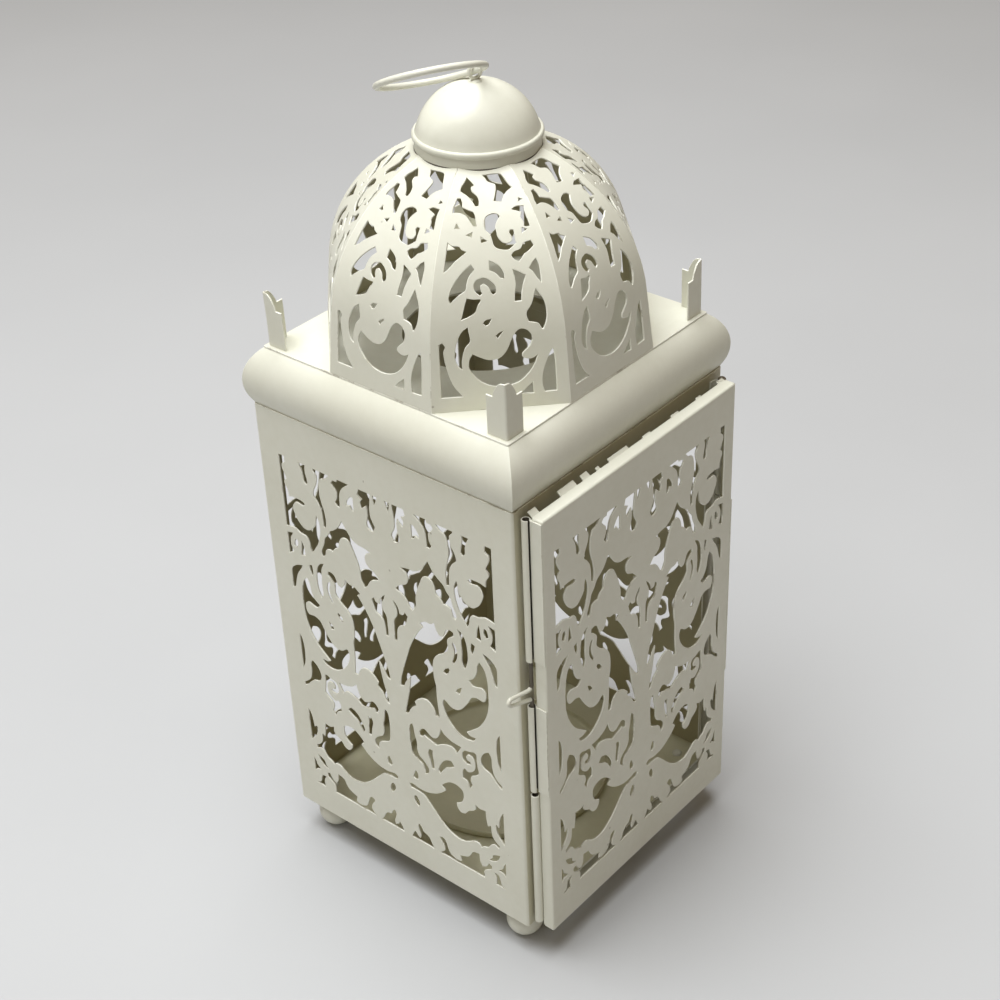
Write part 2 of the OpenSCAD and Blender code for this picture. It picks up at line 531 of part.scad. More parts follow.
module foot(x, y) color("dimgray") translate([x * foot_place, y * foot_place, 0]) ball_foot();
module foot_front_left() foot(-1, -1);
module foot_front_right() foot(1, -1);
module foot_back_left() foot(-1, 1);
module foot_back_right() foot(1, 1);

module foot_rivets() color("dimgray") at_feet() {
    head_h = rivet_head_share * rivet_head_r;
    head_ball_r = (rivet_head_r * rivet_head_r + head_h * head_h) / (2 * head_h);
    translate([0, 0, floor_z - sheet_t - rivet_depth])
        cylinder(r = rivet_r, h = rivet_depth + sheet_t);
    intersection() {
        translate([0, 0, floor_z + head_h - head_ball_r])
            sphere(r = head_ball_r);
        translate([0, 0, floor_z])
            cylinder(r = 2 * rivet_head_r, h = 2 * head_h);
    }
}

// Section of the moulding, outward and up.
module moulding_section() {
    intersection() {
        translate([roll_y, roll_z])
            difference() {
                circle(r = roll_r);
                circle(r = roll_r - sheet_t);
            }
        translate([roll_y, body_top])
            square([roll_r, roll_h]);
    }
    translate([top_y - top_flange, top_z - sheet_t])
        square([top_flange, sheet_t]);
}

// Front length of the moulding, mitred at both ends, with a tongue inside the wall.
module moulding() {
    reach = wall + roll_r;
    intersection() {
        rotate([90, 0, -90])
            linear_extrude(height = 2 * reach, center = true)
                moulding_section();
        linear_extrude(height = top_z + overrun)
            polygon([[0, 0], [-reach, -reach], [reach, -reach]]);
    }
    translate([fold_r - wall, -roll_foot, body_top - tuck_h])
        cube([body_side - 2 * fold_r, sheet_t, tuck_h]);
}

module moulding_front() color("chocolate") moulding();
module moulding_right() color("chocolate") rotate([0, 0, 90]) moulding();
module moulding_back() color("chocolate") rotate([0, 0, 180]) moulding();
module moulding_left() color("chocolate") rotate([0, 0, -90]) moulding();

module top_plate() color("sienna") translate([0, 0, top_z]) linear_extrude(height = sheet_t)
    difference() {
        square(2 * dome_base, center = true);
        circle(r = plate_hole_r);
    }

// Section of a gore, outward and up.
module gore_section() {
    inner_y = leg_top_y - sheet_t * cos(dome_lean);
    inner_z = leg_top_z - sheet_t * sin(dome_lean);
    far = 2 * dome_arc_r;
    last = arc_end + arc_spare;
    polygon([
        [dome_base, dome_z], [leg_top_y, leg_top_z],
        [inner_y, inner_z], [dome_base - sheet_t / cos(dome_lean), dome_z],
    ]);
    translate([arc_y, arc_z])
        intersection() {
            difference() {
                circle(r = dome_arc_r);
                circle(r = dome_arc_r - sheet_t);
            }
            polygon([
                [0, 0], far * [cos(dome_lean), sin(dome_lean)],
                far * [cos(last / 2), sin(last / 2)], far * [cos(last), sin(last)],
            ]);
        }
}

// One gore of the dome, facing +X.
module gore() {
    side = dome_base * tan(gore_half) + overrun;
    difference() {
        intersection() {
            rotate([90, 0, 0])
                linear_extrude(height = 2 * side, center = true)
                    gore_section();
            linear_extrude(height = dome_top_z + dome_base)
                polygon([
                    [0, 0],
                    [2 * dome_base, -2 * dome_base * tan(gore_half)],
                    [2 * dome_base, 2 * dome_base * tan(gore_half)],
                ]);
        }
        cylinder(r = collar_r, h = dome_top_z + dome_base);
        rotate([90, 0, 90])
            linear_extrude(height = dome_base + overrun)
                for (shape = gore_shares)
                    polygon([for (p = shape) [p[0] * gore_square, gore_height(p[1] * gore_square)]]);
    }
}

// Gore number k, counted round from the front.
module placed_gore(k) color("saddlebrown") rotate([0, 0, (2 * k - 2) * gore_half - 90]) gore();
module gore_1() placed_gore(1);
module gore_2() placed_gore(2);
module gore_3() placed_gore(3);
module gore_4() placed_gore(4);
module gore_5() placed_gore(5);
module gore_6() placed_gore(6);
module gore_7() placed_gore(7);
module gore_8() placed_gore(8);

module collar() color("chocolate") translate([0, 0, collar_z]) difference() {
    cylinder(r = collar_r, h = collar_h);
    translate([0, 0, -overrun])
        cylinder(r = collar_r - sheet_t, h = collar_h + 2 * overrun);
}

module cap() color("chocolate") {
    rotate_extrude() {
        translate([cap_r - sheet_t, collar_top])
            square([collar_r - cap_r + sheet_t, 2 * bead_r]);
        translate([collar_r, bead_z])
            circle(r = bead_r);
    }
    difference() {
        translate([0, 0, cap_ball_z])
            sphere(r = cap_ball_r);
        translate([0, 0, cap_ball_z])
            sphere(r = cap_ball_r - sheet_t);
        translate([0, 0, bead_z - 2 * cap_ball_r])
            cylinder(r = 2 * cap_ball_r, h = 2 * cap_ball_r);
    }
}

// The eye stands on the cap, across the ring's swing line.
module ring_eye() color("dimgray") difference() {
    union() {
        translate([0, 0, eye_z])
            rotate([90, 0, ring_turn])
                rotate_extrude()
                    translate([eye_r, 0])
                        circle(r = eye_wire / 2);
        translate([0, 0, eye_base_z])
            cylinder(r = eye_base_r, h = cap_z + cap_h + eye_base_h - eye_base_z);
    }
    translate([0, 0, cap_ball_z])
        sphere(r = cap_ball_r);
}

module carry_ring() color("dimgray")
    translate([0, 0, eye_z])
        rotate([0, 0, ring_turn])
            rotate([0, ring_rest, 0])
                rotate([ring_tilt, 0, 0])
                    translate([-ring_r, 0, 0])
                        rotate_extrude()
                            translate([ring_r, 0])
                                circle(r = ring_wire / 2);

// Front face of a finial at the front right corner.
module finial_leaf() {
    upright(finial_place, sheet_t)
        translate([finial_place, dome_z])
            polygon([for (p = leaf_shares) [-p[0] * finial_w, p[1] * finial_h]]);
}

module finial() {
    finial_leaf();
    mirror([1, 1, 0])
        finial_leaf();
}

module finial_front_right() color("chocolate") finial();
module finial_front_left() color("chocolate") mirror([1, 0, 0]) finial();
module finial_back_right() color("chocolate") mirror([0, 1, 0]) finial();
module finial_back_left() color("chocolate") rotate([0, 0, 180]) finial();

module door_pan() color("saddlebrown") difference() {
    translate([-door_w / 2, -door_front, body_z])
        cube([door_w, door_depth, door_h]);
    translate([sheet_t - door_w / 2, sheet_t - door_front, body_z + sheet_t])
        cube([door_w - 2 * sheet_t, door_depth, door_h - 2 * sheet_t]);
    upright(door_front + overrun, sheet_t + 2 * overrun)
        translate([0, body_z + door_window_z])
            scrollwork();
}

// A hinge or latch tube on the right, from height low to height high, with its leaf.
module tube(low, high) {
    difference() {
        union() {
            translate([tube_x, -tube_y, body_z + low])
                cylinder(r = tube_r, h = high - low);
            translate([0, 0, body_z + low])
                linear_extrude(height = high - low)
                    children();
        }
        translate([tube_x, -tube_y, body_z + low - overrun])
            cylinder(r = bore_r, h = high - low + 2 * overrun);
    }
}

// Plan of the leaf on the door's side.
module door_leaf() {
    translate([door_w / 2, leaf_short - door_front])
        square([sheet_t, door_front - leaf_short - tube_y]);
}

// Plan of the leaf on the strip beside the doorway.
module body_leaf() {
    translate([tube_x - leaf_w, -wall - tube_stand - leaf_lap])
        square([leaf_w, tube_stand + leaf_lap]);
}

module hinge_tube_low() color("peru") tube(0, hinge_low - hinge_gap / 2) body_leaf();
module hinge_tube_door() color("peru") tube(hinge_low + hinge_gap / 2, hinge_high - hinge_gap / 2)
    door_leaf();
module hinge_tube_high() color("peru") tube(hinge_high + hinge_gap / 2, hinge_top) body_leaf();

module hinge_pin() color("dimgray") translate([tube_x, -tube_y, body_z]) {
    cylinder(r = pin_r, h = hinge_top + pin_head_h);
    translate([0, 0, hinge_top])
        cylinder(r = pin_head_r, h = pin_head_h);
}

module latch_tube_high() color("peru") mirror([1, 0, 0]) tube(guide_top_low, guide_top_high)
    door_leaf();
module latch_tube_low() color("peru") mirror([1, 0, 0]) tube(guide_low, guide_high) door_leaf();

// Tube fixed to the body below the bolt, on two small tabs.
module latch_catch() color("peru") mirror([1, 0, 0]) difference() {
    union() {
        translate([tube_x, -tube_y, body_z + catch_low])
            cylinder(r = tube_r, h = catch_high - catch_low);
        for (z = [catch_low + tab_in, catch_high - tab_in - tab_h])
            translate([0, 0, body_z + z])
                linear_extrude(height = tab_h)
                    body_leaf();
    }
    translate([tube_x, -tube_y, body_z + catch_low - overrun])
        cylinder(r = bore_r, h = catch_high - catch_low + 2 * overrun);
}

// Hairpin grip along -X from the bolt.
module grip() {
    bend_r = grip_bend + grip_wire / 2;
    length = sqrt(grip_reach * grip_reach + grip_rise * grip_rise) - bend_r;
    rotate([0, atan(grip_rise / grip_reach), 0]) {
        for (side = [-1, 1])
            translate([-length, 0, side * bend_r])
                rotate([0, 90, 0])
                    cylinder(r = grip_wire / 2, h = length);
        translate([-length, 0, 0])
            intersection() {
                rotate([90, 0, 0])
                    rotate_extrude()
                        translate([bend_r, 0])
                            circle(r = grip_wire / 2);
                translate([-grip_reach, -grip_reach, -grip_reach])
                    cube([grip_reach, 2 * grip_reach, 2 * grip_reach]);
            }
    }
}

module latch_bolt() color("dimgray") translate([-tube_x, -tube_y, body_z]) {
    translate([0, 0, bolt_low])
        cylinder(r = pin_r, h = bolt_high - bolt_low);
    translate([0, 0, grip_z])
        grip();
}

side_panel_left();
side_panel_right();
back_panel();
front_stile_left();
front_stile_right();
front_header();
front_sill();
floor_plate();
candle_dish();
foot_front_left();
foot_front_right();
foot_back_left();
foot_back_right();
foot_rivets();
moulding_front();
moulding_right();
moulding_back();
moulding_left();
top_plate();
gore_1();
gore_2();
gore_3();
gore_4();
gore_5();
gore_6();
gore_7();
gore_8();
collar();
cap();
ring_eye();
carry_ring();
finial_front_left();
finial_front_right();
finial_back_left();
finial_back_right();
door_pan();
hinge_tube_low();
hinge_tube_door();
hinge_tube_high();
hinge_pin();
latch_tube_high();
latch_tube_low();
latch_catch();
latch_bolt();
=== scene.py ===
"""Ivory painted candle lantern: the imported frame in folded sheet, rolled tubes and bent wire."""
import math

import bmesh
import bpy
from mathutils import Matrix, Vector
from mathutils.geometry import delaunay_2d_cdt


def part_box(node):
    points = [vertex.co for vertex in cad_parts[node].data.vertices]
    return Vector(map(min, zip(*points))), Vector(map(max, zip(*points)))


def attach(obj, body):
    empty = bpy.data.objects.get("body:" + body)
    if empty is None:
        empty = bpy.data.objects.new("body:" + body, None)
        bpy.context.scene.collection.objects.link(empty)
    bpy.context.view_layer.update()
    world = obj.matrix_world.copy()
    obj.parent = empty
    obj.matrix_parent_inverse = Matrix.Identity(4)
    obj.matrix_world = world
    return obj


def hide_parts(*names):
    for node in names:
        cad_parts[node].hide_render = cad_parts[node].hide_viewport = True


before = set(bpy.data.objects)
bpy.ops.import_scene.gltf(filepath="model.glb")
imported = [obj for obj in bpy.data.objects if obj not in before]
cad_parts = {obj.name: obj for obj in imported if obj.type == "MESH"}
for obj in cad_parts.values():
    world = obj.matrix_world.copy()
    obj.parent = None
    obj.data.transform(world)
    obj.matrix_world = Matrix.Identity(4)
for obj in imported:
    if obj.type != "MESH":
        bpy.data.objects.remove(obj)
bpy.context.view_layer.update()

# Sizes are in millimetres, as in the CAD, and turn into metres at the last step
MM = 0.001
# Thickness of the sheet, outer radius of the body's folds, and chamfer of a cut edge
SHEET, FOLD_R, BEVEL = 0.8, 1.4, 0.18
# How near a corner of a CAD face is to its plane, and how squarely the face looks outward
NEAR, FACING = 0.01, 0.9
# Values of the faces' rim attribute, which the paint reads: cut edges take a painted highlight and
# rubbed wear, inner sides painted shade, the lowest value near-black painted shade
CUT_EDGE, CUT_MIDDLE, PLAIN, INNER_SHADE, BLACK_SHADE_AND_BARE = 1.0, 0.6, 0.0, -1.0, -2.0


def extent(node):
    low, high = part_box(node)
    return low / MM, high / MM


def heights(node):
    low, high = extent(node)
    return low.z, high.z


WALL = extent("back_panel")[1].y
BODY_Z, BODY_TOP = heights("back_panel")
FLOOR_TOP = extent("floor_plate")[1].z
TOP_Z, PLATE_TOP = heights("top_plate")
DOME_BASE = extent("top_plate")[1].x
# The hinge and latch tubes stand at this distance to the side and to the front
TUBE_X, TUBE_Y, TUBE_R = 70.45, 78.25, 2.05
# A gore's straight foot, its lean, the radius and centre of its curve, and half of its angle
LEG, LEAN, ARC_R = 29.0, math.radians(5.8), 74.0
LEG_TOP = (DOME_BASE - LEG * math.sin(LEAN), PLATE_TOP + LEG * math.cos(LEAN))
ARC = (LEG_TOP[0] - ARC_R * math.cos(LEAN), LEG_TOP[1] - ARC_R * math.sin(LEAN))
HALF = math.radians(22.5)


# Lines

def rounded(points, radii, step=9.0):
    """The points of a line whose corners are rounded to these radii, dense only in the bends."""
    points = [Vector(p) for p in points]
    out = [points[0]]
    for before, here, after, r in zip(points, points[1:], points[2:], radii):
        a, b = (before - here).normalized(), (after - here).normalized()
        turn = math.pi - a.angle(b)
        if r < 1e-6 or turn < 1e-3:
            out.append(here)
            continue
        run = r * math.tan(turn / 2)
        centre = here + (a + b).normalized() * (r / math.cos(turn / 2))
        v0, v1 = here + a * run - centre, here + b * run - centre
        n = max(2, math.ceil(math.degrees(turn) / step))
        for k in range(n + 1):
            t = k / n
            share0, share1 = math.sin((1 - t) * turn), math.sin(t * turn)
            out.append(centre + (v0 * share0 + v1 * share1) / math.sin(turn))
    out.append(points[-1])
    return out


def arc(cx, cy, r, a0, a1, step=9.0):
    """Points of an arc between two angles in degrees, at most a step apart."""
    n = max(2, math.ceil(abs(a1 - a0) / step))
    angles = [math.radians(a0 + (a1 - a0) * k / n) for k in range(n + 1)]
    return [Vector((cx + r * math.cos(a), cy + r * math.sin(a))) for a in angles]


class Track:
    """A flat line that a sheet's outer face follows; the outside is on its left."""

    def __init__(self, points):
        self.p = [Vector(points[0]).to_2d()]
        for q in points[1:]:
            q = Vector(q).to_2d()
            if (q - self.p[-1]).length > 1e-4:
                self.p.append(q)
        self.u = [0.0]
        sides = []
        for a, b in zip(self.p, self.p[1:]):
            self.u.append(self.u[-1] + (b - a).length)
            d = (b - a).normalized()
            sides.append(Vector((-d.y, d.x)))
        self.n = [sides[0]]
        for a, b in zip(sides, sides[1:]):
            self.n.append((a + b) / max(0.4, 1 + a.dot(b)))
        self.n.append(sides[-1])
        self.length = self.u[-1]

    def at(self, u, d):
        """The point at length u along the line and d to its inside."""
        k = 0
        while k < len(self.u) - 2 and u > self.u[k + 1]:
            k += 1
        t = (u - self.u[k]) / (self.u[k + 1] - self.u[k])
        return self.p[k].lerp(self.p[k + 1], t) - self.n[k].lerp(self.n[k + 1], t) * d

    def span(self, axis, value):
        """Length along the line where a coordinate has this value, on the longest straight part."""
        k = max(range(len(self.u) - 1), key=lambda i: self.u[i + 1] - self.u[i])
        a, b = self.p[k][axis], self.p[k + 1][axis]
        return self.u[k] + (value - a) / (b - a) * (self.u[k + 1] - self.u[k])

    def cuts(self, straight=3, beside=0.4):
        """Where a sheet is cut to follow the bends, with a narrow strip on each side of one."""
        found = []
        for k in range(1, len(self.u) - 1):
            found.append(self.u[k])
            for other in (k - 1, k + 1):
                if abs(self.u[other] - self.u[k]) > straight:
                    found.append(self.u[k] + math.copysign(beside, other - k))
        return found


# Outlines taken from the frame's own pierced pieces

def area(loop):
    return sum(a.x * b.y - b.x * a.y for a, b in zip(loop, loop[1:] + loop[:1])) / 2


def thinned(loop, slack, longest=14.0):
    """The loop without the points that lie within slack of the line between their neighbours."""
    n, out, i = len(loop), [], 0
    while i < n:
        out.append(loop[i])
        j = i + 1
        while j < n:
            a, b = loop[i], loop[(j + 1) % n]
            d = b - a
            if d.length < 1e-9 or d.length > longest:
                break
            side = Vector((-d.y, d.x)).normalized()
            if any(abs((q - a).dot(side)) > slack for q in loop[i + 1:j + 1]):
                break
            j += 1
        i = j
    return out


def eased(loop, corner=58.0, step=1.1, most=7, slack=0.03):
    """The loop with a smooth curve through its gentle corners; sharp ones stay."""
    n = len(loop)
    heading = [(loop[(i + 1) % n] - loop[i]).normalized() for i in range(n)]
    sharp = [heading[i - 1].angle(heading[i], 0) > math.radians(corner) for i in range(n)]
    out = []
    for i in range(n):
        p1, p2 = loop[i], loop[(i + 1) % n]
        p0 = 2 * p1 - p2 if sharp[i] else loop[i - 1]
        p3 = 2 * p2 - p1 if sharp[(i + 1) % n] else loop[(i + 2) % n]
        t1 = (p1 - p0).length ** 0.5
        t2 = t1 + (p2 - p1).length ** 0.5
        t3 = t2 + (p3 - p2).length ** 0.5
        steps = max(1, min(most, math.ceil((p2 - p1).length / step)))
        for k in range(steps):
            t = t1 + (t2 - t1) * k / steps
            a1 = p0 * ((t1 - t) / t1) + p1 * (t / t1)
            a2 = p1 * ((t2 - t) / (t2 - t1)) + p2 * ((t - t1) / (t2 - t1))
            a3 = p2 * ((t3 - t) / (t3 - t2)) + p3 * ((t - t2) / (t3 - t2))
            b1 = a1 * ((t2 - t) / t2) + a2 * (t / t2)
            b2 = a2 * ((t3 - t) / (t3 - t1)) + a3 * ((t - t1) / (t3 - t1))
            out.append(b1 * ((t2 - t) / (t2 - t1)) + b2 * ((t - t1) / (t2 - t1)))
    return thinned(out, slack)


def openings(node, outer, flatten, slack=0.05, least=0.15):
    """The holes in a CAD node's outer face, flattened and eased.

    outer(point, normal) says whether a face's corner is on the outer face.
    """
    bm = bmesh.new()
    bm.from_mesh(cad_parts[node].data)
    bmesh.ops.remove_doubles(bm, verts=bm.verts, dist=2e-6)
    bm.normal_update()
    face = [f for f in bm.faces if all(outer(v.co / MM, f.normal) for v in f.verts)]
    chosen = set(face)
    follow = {}
    for f in face:
        for corner in f.loops:
            if not any(g is not f and g in chosen for g in corner.edge.link_faces):
                follow.setdefault(corner.vert, []).append(corner.link_loop_next.vert)
    loops = []
    while follow:
        here, loop = next(iter(follow)), []
        while here in follow:
            loop.append(flatten(here.co / MM))
            after = follow[here].pop()
            if not follow[here]:
                del follow[here]
            here = after
        if len(loop) > 2:
            loops.append(loop)
    bm.free()
    loops.sort(key=lambda loop: -abs(area(loop)))
    holes = []
    for loop in loops[1:]:
        loop = thinned(loop, slack)
        if len(loop) > 2 and abs(area(loop)) > least:
            holes.append(eased(loop))
    return holes


# Sheet metal

def moved_in(before, here, after, a, b, limit=2.2, straight=0.08):
    """A corner moved into the sheet by a from the edge before it and b from the edge after it."""
    d1, d2 = (here - before).normalized(), (after - here).normalized()
    n1, n2 = Vector((-d1.y, d1.x)), Vector((-d2.y, d2.x))
    cross = n1.x * n2.y - n1.y * n2.x
    reach = limit * max(a, b)
    if abs(cross) < straight:
        if n1.dot(n2) > 0:
            return here + (n1 + n2) * ((a + b) / 4)
        back = (d2 - d1).normalized() * reach
        return here + (back if cross > 0 else -back)
    p = Vector(((a * n2.y - b * n1.y) / cross, (n1.x * b - n2.x * a) / cross))
    if p.length > reach:
        p *= reach / p.length
    return here + p


def finished(bm, name, corner=30.0):
    """The mesh as an object in metres, smooth with its real edges sharp."""
    bmesh.ops.delete(bm, geom=[v for v in bm.verts if not v.link_faces], context="VERTS")
    bmesh.ops.recalc_face_normals(bm, faces=bm.faces)
    for f in bm.faces:
        f.smooth = True
    for e in bm.edges:
        e.smooth = len(e.link_faces) == 2 and e.calc_face_angle(0) < math.radians(corner)
    mesh = bpy.data.meshes.new(name)
    bm.to_mesh(mesh)
    bm.free()
    made = bpy.data.objects.new(name, mesh)
    bpy.context.scene.collection.objects.link(made)
    return made


def sheet_mesh(
    bm, outline, holes, place, cuts_u=(), cuts_v=(),
    thick=SHEET, bevel=BEVEL, joined=None, inside=INNER_SHADE,
):
    """Adds a folded sheet: its outline and holes, cut at the bends and laid by place(u, v, depth).

    joined(a, b) picks edges of the outline that stay square, as they meet another sheet, and
    inside is the rim value of the sheet's inner side, which is painted shade by default.
    """
    rim = bm.faces.layers.float.get("rim") or bm.faces.layers.float.new("rim")
    flat = bmesh.new()
    layer = flat.faces.layers.float.new("rim")
    loops = [[Vector(p).to_2d() for p in outline]] + [list(h) for h in holes]
    for k, loop in enumerate(loops):
        if (area(loop) > 0) != (k == 0):
            loop.reverse()
    inner, faces, n = [], [], 0
    for k, loop in enumerate(loops):
        size = len(loop)
        free = [bevel] * size
        if k == 0 and joined:
            free = [0.0 if joined(loop[i], loop[(i + 1) % size]) else bevel for i in range(size)]
        for i in range(size):
            after = loop[(i + 1) % size]
            inner.append(moved_in(loop[i - 1], loop[i], after, free[i - 1], free[i]))
        order = list(range(n, n + size))
        faces.append(order if k == 0 else order[::-1])
        n += size
    verts, _, tris, from_verts, _, from_faces = delaunay_2d_cdt(inner, [], faces, 0, 1e-6)
    found = {}
    for k, sources in enumerate(from_verts):
        for s in sources:
            found[s] = k
    front = [flat.verts.new((p.x, p.y, 0)) for p in verts]
    back = [flat.verts.new((p.x, p.y, thick)) for p in verts]

    def add(corners, value):
        corners = [c for i, c in enumerate(corners) if c is not corners[i - 1]]
        if len(corners) > 2 and not flat.faces.get(corners):
            flat.faces.new(corners)[layer] = value

    for tri, sources in zip(tris, from_faces):
        if list(sources) == [0]:
            add([front[i] for i in tri], PLAIN)
            add([back[i] for i in reversed(tri)], inside)
    n = 0
    for loop in loops:
        size = len(loop)
        upper = [flat.verts.new((p.x, p.y, bevel)) for p in loop]
        lower = [flat.verts.new((p.x, p.y, thick - bevel)) for p in loop]
        for i in range(size):
            j = (i + 1) % size
            a, b = found[n + i], found[n + j]
            add([front[b], front[a], upper[i], upper[j]], CUT_EDGE)
            add([upper[j], upper[i], lower[i], lower[j]], CUT_MIDDLE)
            add([lower[j], lower[i], back[a], back[b]], CUT_EDGE)
        n += size
    for axis, cuts in ((0, cuts_u), (1, cuts_v)):
        for value in cuts:
            near = []
            for f in flat.faces:
                reach = [v.co[axis] for v in f.verts]
                if min(reach) < value < max(reach):
                    near.append(f)
            if near:
                geom = near + list(dict.fromkeys(e for f in near for e in f.edges))
                geom += dict.fromkeys(v for f in near for v in f.verts)
                co, no = [0, 0, 0], [0, 0, 0]
                co[axis], no[axis] = value, 1
                bmesh.ops.bisect_plane(flat, geom=geom, dist=1e-6, plane_co=co, plane_no=no)
    new = {v: bm.verts.new(Vector(place(*v.co)) * MM) for v in flat.verts if v.link_faces}
    for f in flat.faces:
        try:
            bm.faces.new([new[v] for v in f.verts])[rim] = f[layer]
        except ValueError:
            continue
    flat.free()


def sheet(name, *args, **kwargs):
    bm = bmesh.new()
    sheet_mesh(bm, *args, **kwargs)
    return finished(bm, name)


def strip(track, low, high):
    """Flat outline of a plain strip that follows a track between two heights."""
    return [(0, low), (track.length, low), (track.length, high), (0, high)]


# Turned and wire pieces

def lathe_mesh(bm, profile, segments=72, closed=True, place=Matrix.Identity(4)):
    """Adds the profile, as (radius, height) points, turned about the axis."""
    turns = [2 * math.pi * k / segments for k in range(segments)]
    rings = []
    for r, z in profile:
        if r < 1e-6:
            rings.append([bm.verts.new(place @ Vector((0, 0, z)) * MM)] * segments)
        else:
            points = [Vector((r * math.cos(a), r * math.sin(a), z)) for a in turns]
            rings.append([bm.verts.new(place @ p * MM) for p in points])
    for a, b in zip(rings, rings[1:] + (rings[:1] if closed else [])):
        for k in range(segments):
            j = (k + 1) % segments
            corners = [a[k], a[j], b[j], b[k]]
            corners = [c for i, c in enumerate(corners) if c is not corners[i - 1]]
            if len(corners) > 2:
                bm.faces.new(corners)


def lathe(name, profile, segments=72, closed=True, place=Matrix.Identity(4)):
    bm = bmesh.new()
    lathe_mesh(bm, profile, segments, closed, place)
    return finished(bm, name)


def bead(cx, cz, r, a0, a1, n):
    """Points of an arc of a profile, in n steps between two angles in degrees."""
    turns = [math.radians(a0 + (a1 - a0) * k / n) for k in range(n + 1)]
    return [(cx + r * math.cos(a), cz + r * math.sin(a)) for a in turns]


def wire_mesh(bm, points, radius, sides=16, dome=0.55):
    """Adds a round wire along the points, with softly rounded ends."""
    points = [Vector(p).to_3d() for p in points]
    head = (points[1] - points[0]).normalized()
    tail = (points[-1] - points[-2]).normalized()
    # how far in from the end each ring of the rounded end is, and how wide
    steps = [math.radians(a) for a in (90, 60, 30, 0)]
    end = [(radius * dome * (1 - math.sin(a)), radius * (0.98 * math.cos(a) + 0.02)) for a in steps]
    path = [points[0] + head * run for run, _ in end] + points[1:-1]
    path += [points[-1] - tail * run for run, _ in reversed(end)]
    sizes = [size for _, size in end] + [radius] * (len(points) - 2)
    sizes += [size for _, size in reversed(end)]
    side = head.orthogonal().normalized()
    turns = [2 * math.pi * i / sides for i in range(sides)]
    rings, last = [], head
    for k, p in enumerate(path):
        ahead = (path[min(k + 1, len(path) - 1)] - path[max(k - 1, 0)]).normalized()
        turn = last.rotation_difference(ahead)
        side = (turn @ side).normalized()
        last = ahead
        other = ahead.cross(side)
        spokes = [side * math.cos(a) + other * math.sin(a) for a in turns]
        rings.append([bm.verts.new((p + spoke * sizes[k]) * MM) for spoke in spokes])
    for a, b in zip(rings, rings[1:]):
        for i in range(sides):
            j = (i + 1) % sides
            bm.faces.new([a[i], a[j], b[j], b[i]])
    bm.faces.new(rings[0][::-1])
    bm.faces.new(rings[-1])


def wire(name, points, radius, sides=16):
    bm = bmesh.new()
    wire_mesh(bm, points, radius, sides)
    return finished(bm, name)


# Materials

class Graph:
    """A node tree that is filled by short calls; its nodes are laid out in rows."""

    def __init__(self, tree):
        self.tree = tree
        self.count = 0

    def give(self, socket, value):
        """Links a socket to another one, or sets it to a number, a vector or a colour."""
        if isinstance(value, bpy.types.NodeSocket):
            self.tree.links.new(value, socket)
        elif socket.type == "RGBA":
            socket.default_value = (*value, 1)
        else:
            socket.default_value = value

    def fill(self, made, **sockets):
        """Fills a node's named sockets; an underscore stands for a space."""
        for name, value in sockets.items():
            self.give(made.inputs[name.replace("_", " ")], value)

    def add(self, kind, **sockets):
        made = self.tree.nodes.new(kind)
        made.location = (200 * (self.count % 8) - 1900, -300 * (self.count // 8))
        self.count += 1
        self.fill(made, **sockets)
        return made

    def mixed(self, factor, a, b):
        """The colour between two others."""
        made = self.add("ShaderNodeMix")
        made.data_type = "RGBA"
        for index, value in ((0, factor), (6, a), (7, b)):
            self.give(made.inputs[index], value)
        return made.outputs[2]

    def ranged(self, value, a, b, c, d):
        """The value's range from a to b, brought to the range from c to d and held there."""
        made = self.add("ShaderNodeMapRange")
        for socket, given in zip(made.inputs, (value, a, b, c, d)):
            self.give(socket, given)
        return made.outputs[0]

    def noise(self, coords, scale, detail=3.0, roughness=0.55, distortion=0.0):
        made = self.add(
            "ShaderNodeTexNoise", Vector=coords, Scale=scale, Detail=detail, Roughness=roughness,
            Distortion=distortion,
        )
        return made.outputs["Fac"]

    def maths(self, what, a, b):
        made = self.add("ShaderNodeMath")
        made.operation = what
        self.give(made.inputs[0], a)
        self.give(made.inputs[1], b)
        return made.outputs[0]


def material(name):
    made = bpy.data.materials.new(name)
    made.use_nodes = True
    return made, Graph(made.node_tree), made.node_tree.nodes["Principled BSDF"]


INNER_PAINTED_SHADE = (0.45, 0.41, 0.24)
BLACK_SHADE_AND_BARE_COLOUR = (0.10, 0.085, 0.06)
PIN_SPECK = (0.19, 0.15, 0.09)
# Noise stays mostly between these two values
NOISE_LOW, NOISE_HIGH = 0.3, 0.7


